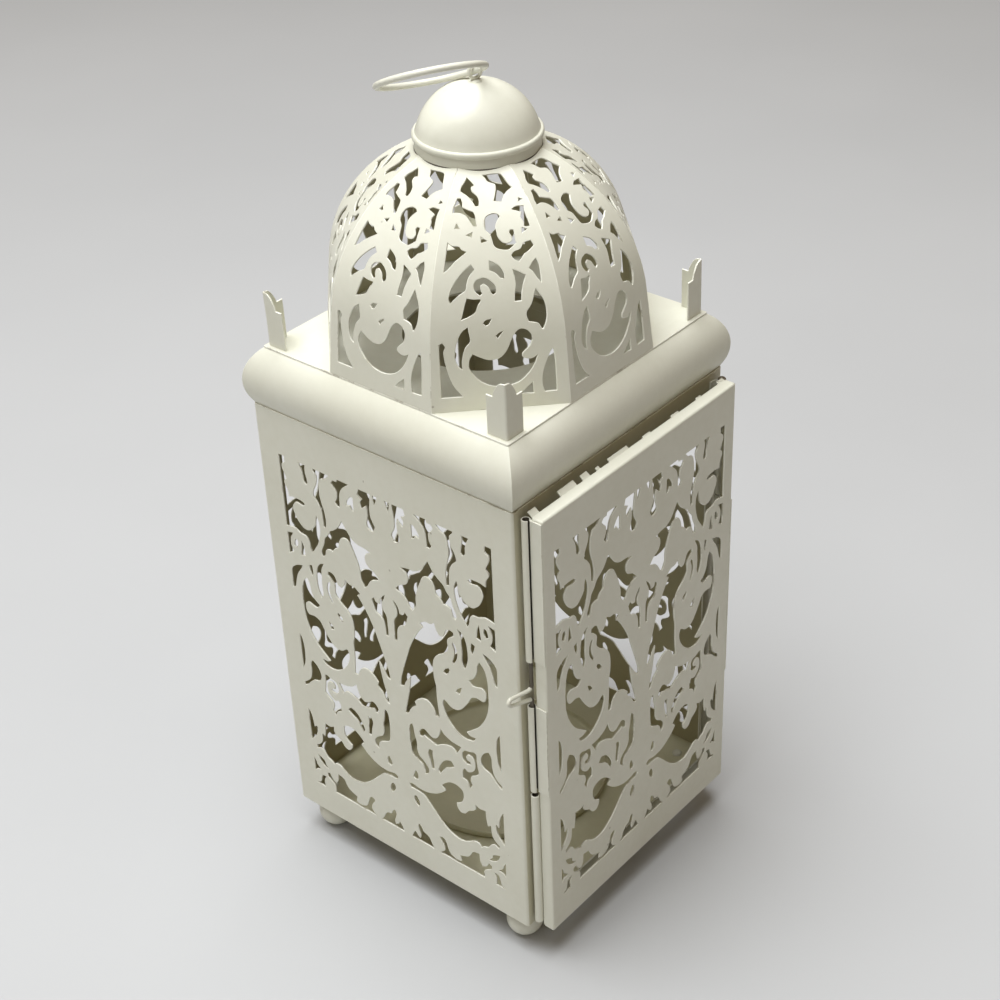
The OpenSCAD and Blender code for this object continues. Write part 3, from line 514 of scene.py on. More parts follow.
def paint(name, light, deep, edge, bare, rough, wear):
    """Sprayed satin paint: cloudy tone, grain, specks, rubbed wear and a painted highlight on cut
    edges, painted shade on inner sides.
    """
    made, graph, shader = material(name)
    coords = graph.add("ShaderNodeTexCoord").outputs["Object"]
    clouds = graph.noise(coords, 16.0, 4.0, 0.5, 0.4)
    grain = graph.noise(coords, 230.0, 5.0, 0.6)
    tone = graph.maths(
        "ADD",
        graph.ranged(clouds, NOISE_LOW, NOISE_HIGH, 0, 0.7),
        graph.ranged(grain, NOISE_LOW, NOISE_HIGH, 0, 0.3),
    )
    colour = graph.mixed(tone, light, deep)

    specks = graph.add("ShaderNodeTexVoronoi", Vector=coords, Scale=105.0, Randomness=1.0)
    near = graph.ranged(specks.outputs["Distance"], 0.035, 0.085, 1, 0)
    some = graph.maths("GREATER_THAN", graph.noise(coords, 55.0, 1.0), 0.62)
    share = graph.maths("MULTIPLY", graph.maths("MULTIPLY", near, some), 0.55)
    colour = graph.mixed(share, colour, PIN_SPECK)

    where = graph.add("ShaderNodeAttribute")
    where.attribute_name = "rim"
    rim = graph.ranged(where.outputs["Fac"], PLAIN, CUT_EDGE, 0, 1)
    inner = graph.ranged(where.outputs["Fac"], PLAIN, INNER_SHADE, 0, 1)
    black_shade_and_bare = graph.ranged(where.outputs["Fac"], INNER_SHADE, BLACK_SHADE_AND_BARE, 0, 1)
    rubbed = graph.noise(coords, 75.0, 4.0, 0.65)
    rubbed = graph.ranged(rubbed, 0.6 - 0.1 * wear, 0.68 - 0.1 * wear, 0, 1)
    rubbed = graph.maths("MULTIPLY", graph.maths("MULTIPLY", rim, rubbed), 0.75)
    # Cut edges are mixed towards the pale edge colour: a painted highlight
    colour = graph.mixed(graph.maths("MULTIPLY", rim, 0.7), colour, edge)
    # Inner sides are mixed to a dark olive: painted shade
    colour = graph.mixed(graph.maths("MULTIPLY", inner, 0.85), colour, INNER_PAINTED_SHADE)
    colour = graph.mixed(rubbed, colour, bare)
    # The lowest rim value is mixed to near-black: painted shade, also standing for bare metal on
    # the rubbed bolt
    colour = graph.mixed(black_shade_and_bare, colour, BLACK_SHADE_AND_BARE_COLOUR)

    peel = graph.maths("MULTIPLY", graph.noise(coords, 620.0, 2.0, 0.5), 0.05)
    waves = graph.maths("MULTIPLY", graph.noise(coords, 26.0, 1.0, 0.4), 0.5)
    height = graph.maths("ADD", peel, waves)
    bump = graph.add("ShaderNodeBump", Height=height, Strength=0.6, Distance=0.0006)
    graph.fill(
        shader,
        Base_Color=colour,
        Roughness=graph.ranged(grain, NOISE_LOW, NOISE_HIGH, rough - 0.06, rough + 0.07),
        Normal=bump.outputs[0],
        Specular_IOR_Level=0.42,
        Coat_Weight=0.06,
        Coat_Roughness=0.3,
    )
    return made


def steel(name):
    """Drawn wire, dulled and lightly streaked along its length."""
    made, graph, shader = material(name)
    coords = graph.add("ShaderNodeTexCoord").outputs["Object"]
    stretch = graph.add("ShaderNodeMapping", Vector=coords, Scale=(900, 900, 60))
    streaks = graph.noise(stretch.outputs[0], 1.0, 4.0, 0.6)
    blotch = graph.ranged(graph.noise(coords, 120.0, 3.0), 0.35, 0.7, 0, 1)
    bump = graph.add("ShaderNodeBump", Height=streaks, Strength=0.3, Distance=0.0001)
    graph.fill(
        shader,
        Base_Color=graph.mixed(blotch, (0.46, 0.45, 0.42), (0.3, 0.26, 0.2)),
        Roughness=graph.ranged(streaks, NOISE_LOW, NOISE_HIGH, 0.3, 0.5),
        Normal=bump.outputs[0],
        Metallic=1.0,
    )
    return made


FINISH = {
    "painted_sheet": paint(
        "ivory_sheet_paint", light=(0.73, 0.73, 0.635), deep=(0.66, 0.655, 0.55),
        edge=(0.9, 0.9, 0.81), bare=(0.36, 0.33, 0.25), rough=0.42, wear=0.5,
    ),
    "painted_wire": paint(
        "ivory_wire_paint", light=(0.74, 0.74, 0.65), deep=(0.67, 0.665, 0.565),
        edge=(0.9, 0.9, 0.82), bare=(0.33, 0.30, 0.23), rough=0.38, wear=1.0,
    ),
    "pin_steel": steel("dull_steel"),
}
# Yellower, darker paint for the floor plate and dish: painted shade and warm light bounced about
# inside the body
INTERIOR_SHADE_PAINT = paint(
    "interior_painted_shade_paint", light=(0.71, 0.69, 0.51), deep=(0.62, 0.60, 0.42),
    edge=(0.76, 0.75, 0.62), bare=(0.36, 0.33, 0.25), rough=0.5, wear=0.5,
)


def dress(piece, body, slot, *nodes, finish=None):
    """Gives a piece the material of its slot and its body, and hides the CAD nodes that it stands
    for.
    """
    piece.data.materials.append(finish or FINISH[slot])
    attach(piece, body)
    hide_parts(*nodes)


def marked(piece, value, chosen):
    """Sets the rim attribute on the faces that chosen(centre, normal) picks."""
    mesh = piece.data
    rim = mesh.attributes.get("rim") or mesh.attributes.new("rim", "FLOAT", "FACE")
    for f in mesh.polygons:
        if chosen(f.center / MM, f.normal):
            rim.data[f.index].value = value
    return piece


# Body walls: each side sheet turns both corners of its side

DOORWAY = extent("front_header")[1].x
# The strips round the doorway are drawn darker and olive: painted shade, as they lie in the gaps
# beside and above the door
STILE_PAINTED_SHADE, STRIP_PAINTED_SHADE = -0.6, -0.7


def side_sheet(sign, wall, stile):
    """A side wall and its stile in one sheet; sign is -1 on the left and 1 on the right."""
    corners = [(-DOORWAY, -WALL), (-WALL, -WALL), (-WALL, WALL), (FOLD_R - WALL, WALL)]
    track = Track(rounded(corners, [FOLD_R, FOLD_R]))
    holes = openings(
        wall,
        lambda p, n: abs(abs(p.x) - WALL) < NEAR and abs(n.x) > FACING,
        lambda p: Vector((track.span(1, p.y), p.z)),
    )

    def place(u, v, d):
        p = track.at(u, d)
        return (-sign * p.x, p.y, v)

    piece = sheet(
        wall + "_sheet", strip(track, BODY_Z, BODY_TOP), holes, place, track.cuts(),
        joined=lambda a, b: a.x == b.x == 0 or min(a.x, b.x) > track.length - NEAR,
    )
    # The stile's front gets painted shade
    marked(piece, STILE_PAINTED_SHADE, lambda p, n: n.y < -0.95 and p.y < 0.5 - WALL)
    dress(piece, "shell", "painted_sheet", wall, stile)


def upright(name, half, low, high, holes, place):
    """A flat sheet across the body; its two side edges meet other sheets."""
    return sheet(
        name + "_sheet", [(-half, low), (half, low), (half, high), (-half, high)], holes, place,
        joined=lambda a, b: abs(a.x - b.x) < NEAR,
    )


side_sheet(-1, "side_panel_left", "front_stile_left")
side_sheet(1, "side_panel_right", "front_stile_right")

holes = openings(
    "back_panel",
    lambda p, n: abs(p.y - WALL) < NEAR and n.y > FACING,
    lambda p: Vector((p.x, p.z)),
)
back_wall = upright(
    "back_panel", WALL - FOLD_R, BODY_Z, BODY_TOP, holes, lambda u, v, d: (u, WALL - d, v)
)
dress(back_wall, "shell", "painted_sheet", "back_panel")
for name in ("front_header", "front_sill"):
    piece = upright(name, DOORWAY, *heights(name), [], lambda u, v, d: (u, d - WALL, v))
    # The strips' front faces get painted shade
    marked(piece, STRIP_PAINTED_SHADE, lambda p, n: n.y < -0.95)
    dress(piece, "shell", "painted_sheet", name)

# Floor plate, dish, feet and rivets

FOOT = (extent("foot_front_right")[0].x + extent("foot_front_right")[1].x) / 2
FOOT_R, FOOT_FLAT, STUD_R = 9.0, 0.25, 3.0
RIVET_R, RIVET_DEPTH, RIVET_HOLE_R = 1.2, 5.0, 1.3
RIVET_HEAD_R, RIVET_HEAD_H = 2.6, 1.17


def circle(x, y, r, n):
    turns = [2 * math.pi * k / n for k in range(n)]
    return [Vector((x + r * math.cos(t), y + r * math.sin(t))) for t in turns]


edge = WALL - SHEET
side = edge - FOLD_R
outline = [
    (edge, -side), (edge, side), (side, edge), (-side, edge),
    (-edge, side), (-edge, -side), (-side, -edge), (side, -edge),
]
holes = [circle(x * FOOT, y * FOOT, RIVET_HOLE_R, 20) for x in (-1, 1) for y in (-1, 1)]
# The floor plate takes the painted-shade paint of the interior
dress(
    sheet("floor_plate_sheet", outline, holes, lambda u, v, d: (u, v, FLOOR_TOP - d)),
    "shell", "painted_sheet", "floor_plate", finish=INTERIOR_SHADE_PAINT,
)

DISH_R, DISH_TOP = extent("candle_dish")[1].x, extent("candle_dish")[1].z
DISH_BEND = 2.4
bend_x, bend_z = DISH_R - DISH_BEND, FLOOR_TOP + DISH_BEND
profile = (
    [(0, FLOOR_TOP + SHEET), (bend_x - SHEET, FLOOR_TOP + SHEET)]
    + bead(bend_x, bend_z, DISH_BEND - SHEET, -90, 0, 6)
    + bead(DISH_R - SHEET / 2, DISH_TOP - 0.42, SHEET / 2, 180, 0, 8)
    + bead(bend_x, bend_z, DISH_BEND, 0, -90, 6)
    + [(0, FLOOR_TOP)]
)
# The dish takes the painted-shade paint of the interior
dress(
    lathe("candle_dish_pan", profile, 120, closed=False),
    "shell", "painted_sheet", "candle_dish", finish=INTERIOR_SHADE_PAINT,
)

PLATE_UNDER = FLOOR_TOP - SHEET
low = math.degrees(math.asin((FOOT_R - FOOT_FLAT) / FOOT_R))
high = math.degrees(math.acos((STUD_R + 0.5) / FOOT_R))
profile = [(0, 0)] + bead(0, FOOT_R - FOOT_FLAT, FOOT_R, -low, high, 26)
top = profile[-1][1]
profile += [(STUD_R + 0.1, top + 0.25), (STUD_R, top + 0.7)]
profile += [(STUD_R, PLATE_UNDER), (0, PLATE_UNDER)]
for y, fore in ((-1, "front"), (1, "back")):
    for x, hand in ((-1, "left"), (1, "right")):
        name = f"foot_{fore}_{hand}"
        place = Matrix.Translation((x * FOOT, y * FOOT, 0))
        dress(lathe(name + "_ball", profile, 48, False, place), "shell", "painted_sheet", name)

turns = [k * math.pi / 16 for k in range(9)]
head = [(RIVET_HEAD_R * math.cos(t), FLOOR_TOP + RIVET_HEAD_H * math.sin(t)) for t in turns]
head[-1] = (0, head[-1][1])
low = PLATE_UNDER - RIVET_DEPTH
bm = bmesh.new()
for x in (-1, 1):
    for y in (-1, 1):
        place = Matrix.Translation((x * FOOT, y * FOOT, 0))
        lathe_mesh(bm, [(0, low), (RIVET_R, low), (RIVET_R, FLOOR_TOP)] + head, 24, False, place)
dress(finished(bm, "foot_rivet_heads"), "shell", "painted_wire", "foot_rivets")

# Cornice: four mitred lengths, bent from one strip each

ROLL_R, TOP_Y, FLANGE = 20.3, WALL - 5.5, 4
# The tongue goes down inside the wall, short of the body's rounded corners
TONGUE_X, TONGUE_H = WALL - FOLD_R - 0.1, 4
foot, lip = Vector((WALL - SHEET, BODY_TOP)), Vector((TOP_Y, TOP_Z))
chord = lip - foot
inward = Vector((chord.y, -chord.x)).normalized()
centre = (foot + lip) / 2 - inward * math.sqrt(ROLL_R ** 2 - chord.length_squared / 4)
turns = [math.degrees(math.atan2(q.y - centre.y, q.x - centre.x)) for q in (lip, foot)]
face = [Vector((TOP_Y - FLANGE, TOP_Z))] + arc(*centre, ROLL_R, *turns, 4)
track = Track(face + [Vector((foot.x, BODY_TOP - TONGUE_H))])


def mitred(turn):
    """The placing of the front length, turned about the axis; its ends are cut at 45 degrees."""
    def place(u, v, d):
        p0, p = track.at(u, 0), track.at(u, d)
        return Matrix.Rotation(turn, 3, "Z") @ Vector((v * p.x / p0.x, -p.x, p.y))
    return place


ends = [(u, p.x) for u, p in zip(track.u, track.p)]
ends[-1:] = [(track.u[-2], TONGUE_X), (track.u[-1], TONGUE_X)]
outline = ends + [(u, -x) for u, x in reversed(ends)]
for k, hand in enumerate(("front", "right", "back", "left")):
    name = "moulding_" + hand
    dress(
        sheet(name + "_sheet", outline, [], mitred(k * math.pi / 2), track.cuts(), bevel=0.12),
        "shell", "painted_sheet", name,
    )

PLATE_HOLE_R, PLATE_THICK, PLATE_CORNER = 37.5, 1.3, 0.8
b = DOME_BASE
corners = [(0, -b), (b, -b), (b, b), (-b, b), (-b, -b), (0, -b)]
dress(
    sheet(
        "top_plate_sheet", [p.to_2d() for p in rounded(corners, [PLATE_CORNER] * 4)][:-1],
        [circle(0, 0, PLATE_HOLE_R, 96)], lambda u, v, d: (u, v, PLATE_TOP - d),
        thick=PLATE_THICK, bevel=0.2, inside=PLAIN,
    ),
    "shell", "painted_sheet", "top_plate",
)

# Dome: eight gores, each a straight foot and a curved top

COLLAR_R = extent("collar")[1].x
# The gores end a hair short of the collar, where the photo has a dark seam
COLLAR_SEAM = 0.45


def gore_at(s, d=0.0):
    """The distance from the axis and the height of a point s up the gore and d inside it."""
    if s <= LEG:
        out, up = DOME_BASE - s * math.sin(LEAN), PLATE_TOP + s * math.cos(LEAN)
        n = (math.cos(LEAN), math.sin(LEAN))
    else:
        a = LEAN + (s - LEG) / ARC_R
        n = (math.cos(a), math.sin(a))
        out, up = ARC[0] + ARC_R * n[0], ARC[1] + ARC_R * n[1]
    return out - n[0] * d, max(PLATE_TOP, up - n[1] * d)


def gore_s(out, up):
    """Length along the gore of a point on its outer face."""
    if up <= LEG_TOP[1] + 1e-3:
        return (up - PLATE_TOP) / math.cos(LEAN)
    return LEG + ARC_R * (math.atan2(up - ARC[1], out - ARC[0]) - LEAN)


def on_gore(p, n):
    """Whether a point and a face's normal, turned to face +X, belong to the gore's outer side."""
    if p.z <= LEG_TOP[1] + 1e-3:
        side = Vector((math.cos(LEAN), math.sin(LEAN)))
        gap = (p.x - DOME_BASE) * side.x + (p.z - PLATE_TOP) * side.y
    else:
        side = Vector((p.x - ARC[0], p.z - ARC[1]))
        gap = side.length - ARC_R
        side.normalize()
    return abs(gap) < 0.02 and n.x * side.x + n.z * side.y > 0.8


def rim_s(t):
    """Length along the gore at which it meets the collar, t to the side of its middle."""
    out = math.sqrt(COLLAR_R * COLLAR_R - t * t)
    return LEG + ARC_R * (math.acos((out - ARC[0]) / ARC_R) - LEAN)


edge_t = COLLAR_R * math.sin(HALF)
rise = rim_s(edge_t) - LEG
stations = [0, LEG] + [LEG + rise * k / 24 for k in range(1, 24)]
right = [(gore_at(s)[0] * math.tan(HALF), s) for s in stations]
crown = [(edge_t * k / 6, rim_s(edge_t * k / 6) - COLLAR_SEAM) for k in range(6, -7, -1)]
outline = right + crown + [(-t, s) for t, s in reversed(right)]
bends = [LEG - 0.6] + [LEG + (rise + 1) * k / 26 for k in range(26)]
for k in range(8):
    name = f"gore_{k + 1}"
    turn = Matrix.Rotation(k * 2 * HALF - math.pi / 2, 3, "Z")
    back = turn.inverted()
    holes = openings(
        name,
        lambda p, n: on_gore(back @ p, back @ n),
        lambda p: Vector(((back @ p).y, gore_s((back @ p).x, p.z))),
    )

    def place(t, s, d):
        out, up = gore_at(s, d)
        return turn @ Vector((out, t * out / gore_at(s)[0], up))

    dress(
        sheet(name + "_sheet", outline, holes, place, (), bends),
        "shell", "painted_sheet", name,
    )

# Collar and cap

low, high = heights("collar")
# The part of the collar that is down inside the dome is drawn near-black: painted shade for the
# dark seam
collar_seen = low + 2.7
inner, ease = COLLAR_R - SHEET, 0.2
band = [
    (inner, low + ease), (inner + ease, low), (COLLAR_R - ease, low), (COLLAR_R, low + ease),
    (COLLAR_R, collar_seen), (COLLAR_R, high), (inner, high),
]
dress(
    marked(lathe("collar_band", band, 120), BLACK_SHADE_AND_BARE, lambda p, n: p.z < collar_seen),
    "shell", "painted_sheet", "collar",
)

CAP_TOP, CAP_R = extent("cap")[1].z, 26.2
BEAD_R, BEAD_STRETCH = extent("cap")[1].x - COLLAR_R, 1.4
foot_z = high + 2 * BEAD_STRETCH * BEAD_R
rise = CAP_TOP - foot_z
ball = (CAP_R ** 2 + rise ** 2) / (2 * rise)
start = math.degrees(math.asin((ball - rise) / ball))
beading = [
    (r, high + BEAD_STRETCH * (z - high))
    for r, z in bead(COLLAR_R, high + BEAD_R, BEAD_R, -85, 85, 12)
]
groove = [(COLLAR_R - 0.3, foot_z - 0.05), (CAP_R + 0.5, foot_z), (CAP_R + 0.15, foot_z + 0.1)]
outer = bead(0, CAP_TOP - ball, ball, start, 90, 30)[1:-1] + [(0, CAP_TOP)]
inner = [(0, CAP_TOP - SHEET)] + bead(0, CAP_TOP - ball, ball - SHEET, 90, start + 1, 24)[1:]
profile = [(CAP_R - 1.2, high), (COLLAR_R - 0.2, high)] + beading + groove + outer + inner
dress(lathe("cap_dome", profile, 120), "shell", "painted_sheet", "cap")

# Ring and eye

EYE_R, EYE_WIRE_R = 3.15, 0.75
RING_R, RING_WIRE_R = 22.4, 1.4
RING_REST, RING_TILT, RING_TURN = math.radians(9), math.radians(-26), math.radians(-12.5)
EYE_UP = 4.0
eye = Matrix.Translation((0, 0, CAP_TOP + EYE_UP)) @ Matrix.Rotation(RING_TURN, 4, "Z")

bm = bmesh.new()
lathe_mesh(
    bm, bead(EYE_R, 0, EYE_WIRE_R, 0, 342, 19), 40, True, eye @ Matrix.Rotation(math.pi / 2, 4, "X")
)
base = [(0, -0.6), (3.0, -0.5), (2.9, -0.05), (2.3, 0.3), (1.3, 0.48), (0, 0.5)]
lathe_mesh(bm, [(r, CAP_TOP + z) for r, z in base], 36, False)
dress(finished(bm, "ring_eye_loop"), "shell", "painted_wire", "ring_eye")

place = (
    eye @ Matrix.Rotation(RING_REST, 4, "Y") @ Matrix.Rotation(RING_TILT, 4, "X")
    @ Matrix.Translation((-RING_R, 0, 0))
)
# The ring's two ends nearly meet beside the eye
turns = [math.radians(-16.2 + 358.9 * k / 120) for k in range(121)]
points = [place @ Vector((RING_R * math.cos(t), RING_R * math.sin(t), 0)) for t in turns]
bm = bmesh.new()
wire_mesh(bm, points, RING_WIRE_R, 24, 0.12)
dress(finished(bm, "carry_ring_wire"), "ring", "painted_wire", "carry_ring")

# Finials: two leaves folded out of one sheet, each a little out of true

LEAF_W, LEAF_H, FINIAL = 10.5, 26.2, 68
LEAF = [
    (LEAF_W, 0), (LEAF_W, 18.6), (6.93, 18.6), (6.51, 20.4), (5.46, 22.5), (4.2, 24.6),
    (2.84, 25.8), (1.05, LEAF_H),
]
track = Track(
    rounded([(FINIAL - LEAF_W, -FINIAL), (FINIAL, -FINIAL), (FINIAL, LEAF_W - FINIAL)], [0.95])
)
mid = track.length / 2
outline = [(mid + x * mid / LEAF_W, y) for x, y in LEAF]
outline += [(mid - x * mid / LEAF_W, y) for x, y in reversed(LEAF)]
for sx, sy, name, lean in (
    (-1, -1, "finial_front_left", 0.012), (1, -1, "finial_front_right", -0.008),
    (-1, 1, "finial_back_left", 0.02), (1, 1, "finial_back_right", 0.006),
):
    def place(u, v, d):
        # the outer side is on the right of this line, so the depth is turned round
        p = track.at(u, SHEET - d) + (track.at(u, 0) - track.at(u, SHEET))
        bow = lean * v * v / LEAF_H
        return (sx * (p.x + bow), -sy * (p.y - bow * 0.4), PLATE_TOP + v)

    dress(
        sheet(
            name + "_leaf", outline, [], place, track.cuts(), (6, 12, 18, 22),
            bevel=0.16, inside=PLAIN,
        ),
        "shell", "painted_sheet", name,
    )

# Door: one sheet with four flanges folded back, soldered at the corners

DOOR_FOLD_R = 0.95
# The door's half width, bottom and top, front and back
X = extent("door_pan")[1].x
Z0, Z1 = heights("door_pan")
FRONT, BACK = extent("door_pan")[0].y, extent("door_pan")[1].y
across = Track(rounded([(X, BACK), (X, FRONT), (-X, FRONT), (-X, BACK)], [DOOR_FOLD_R] * 2))
along = Track(rounded([(BACK, Z0), (FRONT, Z0), (FRONT, Z1), (BACK, Z1)], [DOOR_FOLD_R] * 2))
u0, u1 = across.span(0, X - DOOR_FOLD_R), across.span(0, DOOR_FOLD_R - X)
v0, v1 = along.span(1, Z0 + DOOR_FOLD_R), along.span(1, Z1 - DOOR_FOLD_R)


def door_place(u, v, d):
    if v < v0 - 1e-4 or v > v1 + 1e-4:
        p = along.at(v, d)
        return (X - DOOR_FOLD_R - (u - u0), p.x, p.y)
    p = across.at(u, d)
    return (p.x, p.y, Z0 + DOOR_FOLD_R + (v - v0))


w, h = across.length, along.length
cross = [
    (0, v0), (u0, v0), (u0, 0), (u1, 0), (u1, v0), (w, v0),
    (w, v1), (u1, v1), (u1, h), (u0, h), (u0, v1), (0, v1),
]
holes = openings(
    "door_pan",
    lambda p, n: abs(p.y - FRONT) < NEAR and n.y < -FACING,
    lambda p: Vector((across.span(0, p.x), along.span(1, p.z))),
)
bm = bmesh.new()
sheet_mesh(bm, cross, holes, door_place, across.cuts(), along.cuts())
for x in (-1, 1):
    for z in (Z0 + DOOR_FOLD_R, Z1 - DOOR_FOLD_R):
        line = [(x * (X - DOOR_FOLD_R), y, z) for y in (FRONT, -84, -82, BACK)]
        wire_mesh(bm, line, DOOR_FOLD_R, 24, 1.0)
# Small tongues were left on the back edge of the top flange: from, to and share of the full length
TONGUES = [
    (-69, -64, 1.0), (-50, -39, 0.95), (-35, -30, 0.9), (-25.5, -23, 0.5), (-17, -3, 0.55),
    (7, 13, 0.25), (28, 34, 0.3), (47, 51, 0.25), (64, 69, 0.45),
]
tongue = Track(
    rounded([(BACK - 1.2, Z1 - 0.05), (BACK - 0.2, Z1 - 0.05), (BACK + 2.2, Z1 + 1.75)], [0.6])
)
for low, high, share in TONGUES:
    end = 1.0 + (tongue.length - 1.0) * share
    sheet_mesh(
        bm, [(0, low), (end, low + 0.2), (end, high - 0.3), (0, high)], [],
        lambda u, v, d: (v, *tongue.at(u, d)), tongue.cuts(),
        thick=0.7, bevel=0.1, inside=PLAIN,
    )
dress(finished(bm, "door_pan_sheet"), "door", "painted_sheet", "door_pan")

# Hinge and latch tubes: each rolled from its own leaf

SKIN = 0.65
LEAF_END = TUBE_X - 5.0
tube_back = TUBE_R - TUBE_Y


def round_tube(a0, a1):
    return arc(TUBE_X, -TUBE_Y, TUBE_R, a0, a1, 12)


door_roll = Track(
    rounded([(X, FRONT + 0.2), (X, BACK - 0.2), (X - 0.3, BACK + 0.15)], [0.5])
    + round_tube(225, -62)
)
body_roll = Track(
    rounded([(LEAF_END, -WALL), (TUBE_X - 2.9, -WALL), (TUBE_X - 0.9, tube_back)], [2.0])
    + round_tube(90, -218)
)
bare_roll = Track(round_tube(86, -266))
tab_line = Track(rounded(
    [
        (LEAF_END, -WALL), (TUBE_X - 2.9, -WALL),
        (TUBE_X - 0.6, tube_back - 0.3), (TUBE_X + 0.4, tube_back - 0.3),
    ],
    [2.0, 2.0],
))


def rolled(bm, track, sign, low, high):
    """Adds a leaf and its tube between two heights; sign is 1 at the hinge and -1 at the latch."""
    def place(u, v, d):
        p = track.at(u, d)
        return (sign * p.x, p.y, v)

    sheet_mesh(
        bm, strip(track, low, high), [], place, track.cuts(), thick=SKIN, bevel=0.1, inside=PLAIN
    )


def tubing(bm, name):
    """The finished tube with its bore drawn near-black, as painted shade."""
    return marked(
        finished(bm, name + "_roll", 40), BLACK_SHADE_AND_BARE,
        lambda p, n: math.hypot(abs(p.x) - TUBE_X, p.y + TUBE_Y) < TUBE_R - 0.5,
    )


for name, track, sign, body in (
    ("hinge_tube_low", body_roll, 1, "shell"), ("hinge_tube_high", body_roll, 1, "shell"),
    ("hinge_tube_door", door_roll, 1, "door"),
    ("latch_tube_low", door_roll, -1, "door"), ("latch_tube_high", door_roll, -1, "door"),
):
    bm = bmesh.new()
    rolled(bm, track, sign, *heights(name))
    dress(tubing(bm, name), body, "painted_sheet", name)

TAB_IN, TAB_H = 9, 6
low, high = heights("latch_catch")
bm = bmesh.new()
rolled(bm, bare_roll, -1, low, high)
rolled(bm, tab_line, -1, low + TAB_IN, low + TAB_IN + TAB_H)
rolled(bm, tab_line, -1, high - TAB_IN - TAB_H, high - TAB_IN)
dress(tubing(bm, "latch_catch"), "shell", "painted_sheet", "latch_catch")

# Hinge pin and latch bolt

PIN_R, HEAD_R, HEAD_H = 1.15, 1.9, 1.2
low, high = heights("hinge_pin")
profile = [
    (0, low), (PIN_R - 0.2, low), (PIN_R, low + 0.3), (PIN_R, high - HEAD_H),
    (HEAD_R - 0.2, high - HEAD_H), (HEAD_R, high - 1.0), (HEAD_R, high - 0.6), (1.5, high - 0.15),
    (0.8, high), (0, high),
]
dress(
    lathe("hinge_pin_rod", profile, 28, False, Matrix.Translation((TUBE_X, -TUBE_Y, 0))),
    "shell", "pin_steel", "hinge_pin",
)

BOLT_R = 0.95
low, high = heights("latch_bolt")
grip = BODY_Z + 140.0
x, y = -TUBE_X, -TUBE_Y
nose_x = extent("latch_bolt")[0].x + BOLT_R
bend = rounded(
    [
        (x, y, low), (x, y, grip - 2.2),
        (nose_x + 1.2, y + 0.3, grip + 2.9), (nose_x, y + 0.3, grip + 5.0),
        (nose_x + 1.2, y + 0.3, grip + 6.4),
        (x, y, grip + 3.2), (x, y, high),
    ],
    [1.4, 0.9, 0.9, 0.9, 2.2],
)
# The shank is drawn near-black where it runs in the tubes: paint rubbed off there, and painted
# shade between the tubes
bolt = wire("latch_bolt_wire", bend, BOLT_R, 20)
marked(bolt, BLACK_SHADE_AND_BARE, lambda p, n: math.hypot(p.x - x, p.y - y) < BOLT_R + 0.3)
dress(bolt, "latch", "painted_wire", "latch_bolt")

# Floor, camera, light and backdrop

FLOOR_HALF, FLOOR_GAP = 4000, 0.02
floor_mat, graph, shader = material("pale_floor")
coords = graph.add("ShaderNodeTexCoord").outputs["Object"]
tone = graph.ranged(graph.noise(coords, 2.2, 3.0), NOISE_LOW, NOISE_HIGH, 0, 1)
# The far floor is beyond the lamps, and keeps its tone in the picture
reach = graph.add("ShaderNodeVectorMath")
reach.operation = "LENGTH"
graph.give(reach.inputs[0], coords)
lift = graph.ranged(reach.outputs["Value"], 1.6, 4.0, 0, 0.24)
seen = graph.add("ShaderNodeLightPath").outputs["Is Camera Ray"]
graph.fill(
    shader,
    Base_Color=graph.mixed(tone, (0.49, 0.50, 0.51), (0.52, 0.53, 0.54)),
    Roughness=0.8,
    Specular_IOR_Level=0.2,
    Emission_Color=(1.0, 1.0, 1.0),
    Emission_Strength=graph.maths("MULTIPLY", lift, seen),
)
side = FLOOR_HALF
floor = sheet(
    "floor", [(-side, -side), (side, -side), (side, side), (-side, side)], [],
    lambda u, v, d: (u, v, -FLOOR_GAP - d),
)
floor.data.materials.append(floor_mat)

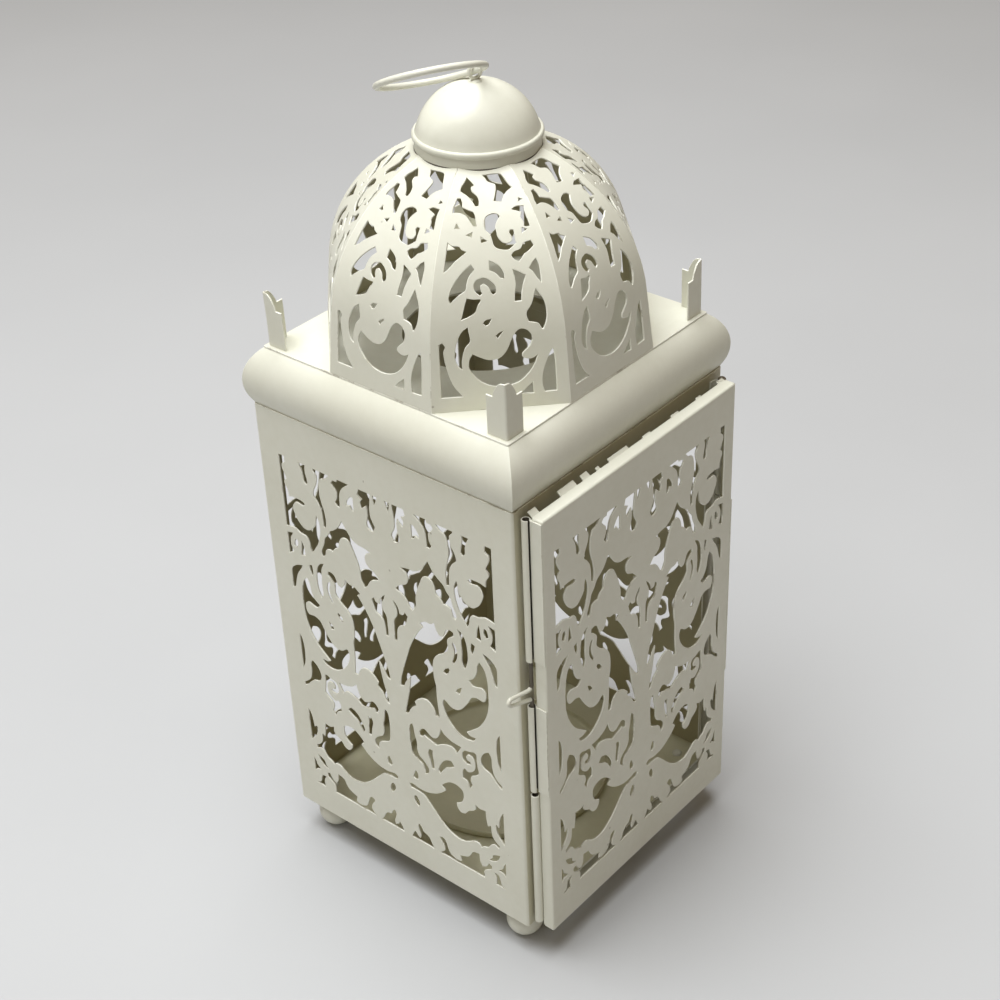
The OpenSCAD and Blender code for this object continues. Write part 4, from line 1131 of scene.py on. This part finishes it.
# The camera as it was solved from the photo; the focal length is in pixels
AZ, EL, ROLL = math.radians(-48.909), math.radians(33.543), math.radians(-2.483)
TARGET, DISTANCE = Vector((3.944, 0, 189.18)) * MM, 895.866 * MM
FOCAL, PICTURE, SENSOR = 1902.486, 1000, 36.0
back = Vector((math.sin(AZ) * math.cos(EL), -math.cos(AZ) * math.cos(EL), math.sin(EL)))
level = Vector((0, 0, 1)).cross(back).normalized()
up = back.cross(level)
x_axis = level * math.cos(ROLL) + up * math.sin(ROLL)
y_axis = up * math.cos(ROLL) - level * math.sin(ROLL)
data = bpy.data.cameras.new("camera")
data.sensor_width = SENSOR
data.lens = FOCAL / PICTURE * SENSOR
data.clip_start, data.clip_end = 0.05, 50
camera = bpy.data.objects.new("camera", data)
bpy.context.scene.collection.objects.link(camera)
turned = Matrix((x_axis, y_axis, back)).transposed().to_4x4()
camera.matrix_world = Matrix.Translation(TARGET + back * DISTANCE) @ turned
bpy.context.scene.camera = camera


def softbox(name, spot, size, power, colour):
    """A square lamp that looks at the lantern's middle."""
    data = bpy.data.lights.new(name, "AREA")
    data.shape, data.size, data.energy, data.color = "SQUARE", size, power, colour
    made = bpy.data.objects.new(name, data)
    bpy.context.scene.collection.objects.link(made)
    made.location = spot
    made.rotation_mode = "QUATERNION"
    made.rotation_quaternion = (Vector((0, 0, 0.2)) - Vector(spot)).to_track_quat("-Z", "Y")


softbox("key", (-0.25, 0.24, 2.2), 1.7, 71, (0.98, 1.0, 1.02))
softbox("window", (-2.1, -0.3, 1.2), 1.4, 8, (0.92, 0.97, 1.0))

world = bpy.data.worlds.new("world")
bpy.context.scene.world = world
world.use_nodes = True
graph = Graph(world.node_tree)
sky = world.node_tree.nodes["Background"]
graph.fill(sky, Color=(1.0, 0.72, 0.4), Strength=0.17)
# The picture shows a plain pale backdrop past the floor's end
backdrop = graph.add("ShaderNodeBackground", Color=(0.34, 0.345, 0.35), Strength=1.0)
shown = graph.add("ShaderNodeMixShader")
ray = graph.add("ShaderNodeLightPath").outputs["Is Camera Ray"]
for socket, value in zip(shown.inputs, (ray, sky.outputs[0], backdrop.outputs[0])):
    graph.give(socket, value)
graph.give(world.node_tree.nodes["World Output"].inputs["Surface"], shown.outputs[0])

bpy.context.scene.view_settings.view_transform = "Standard"
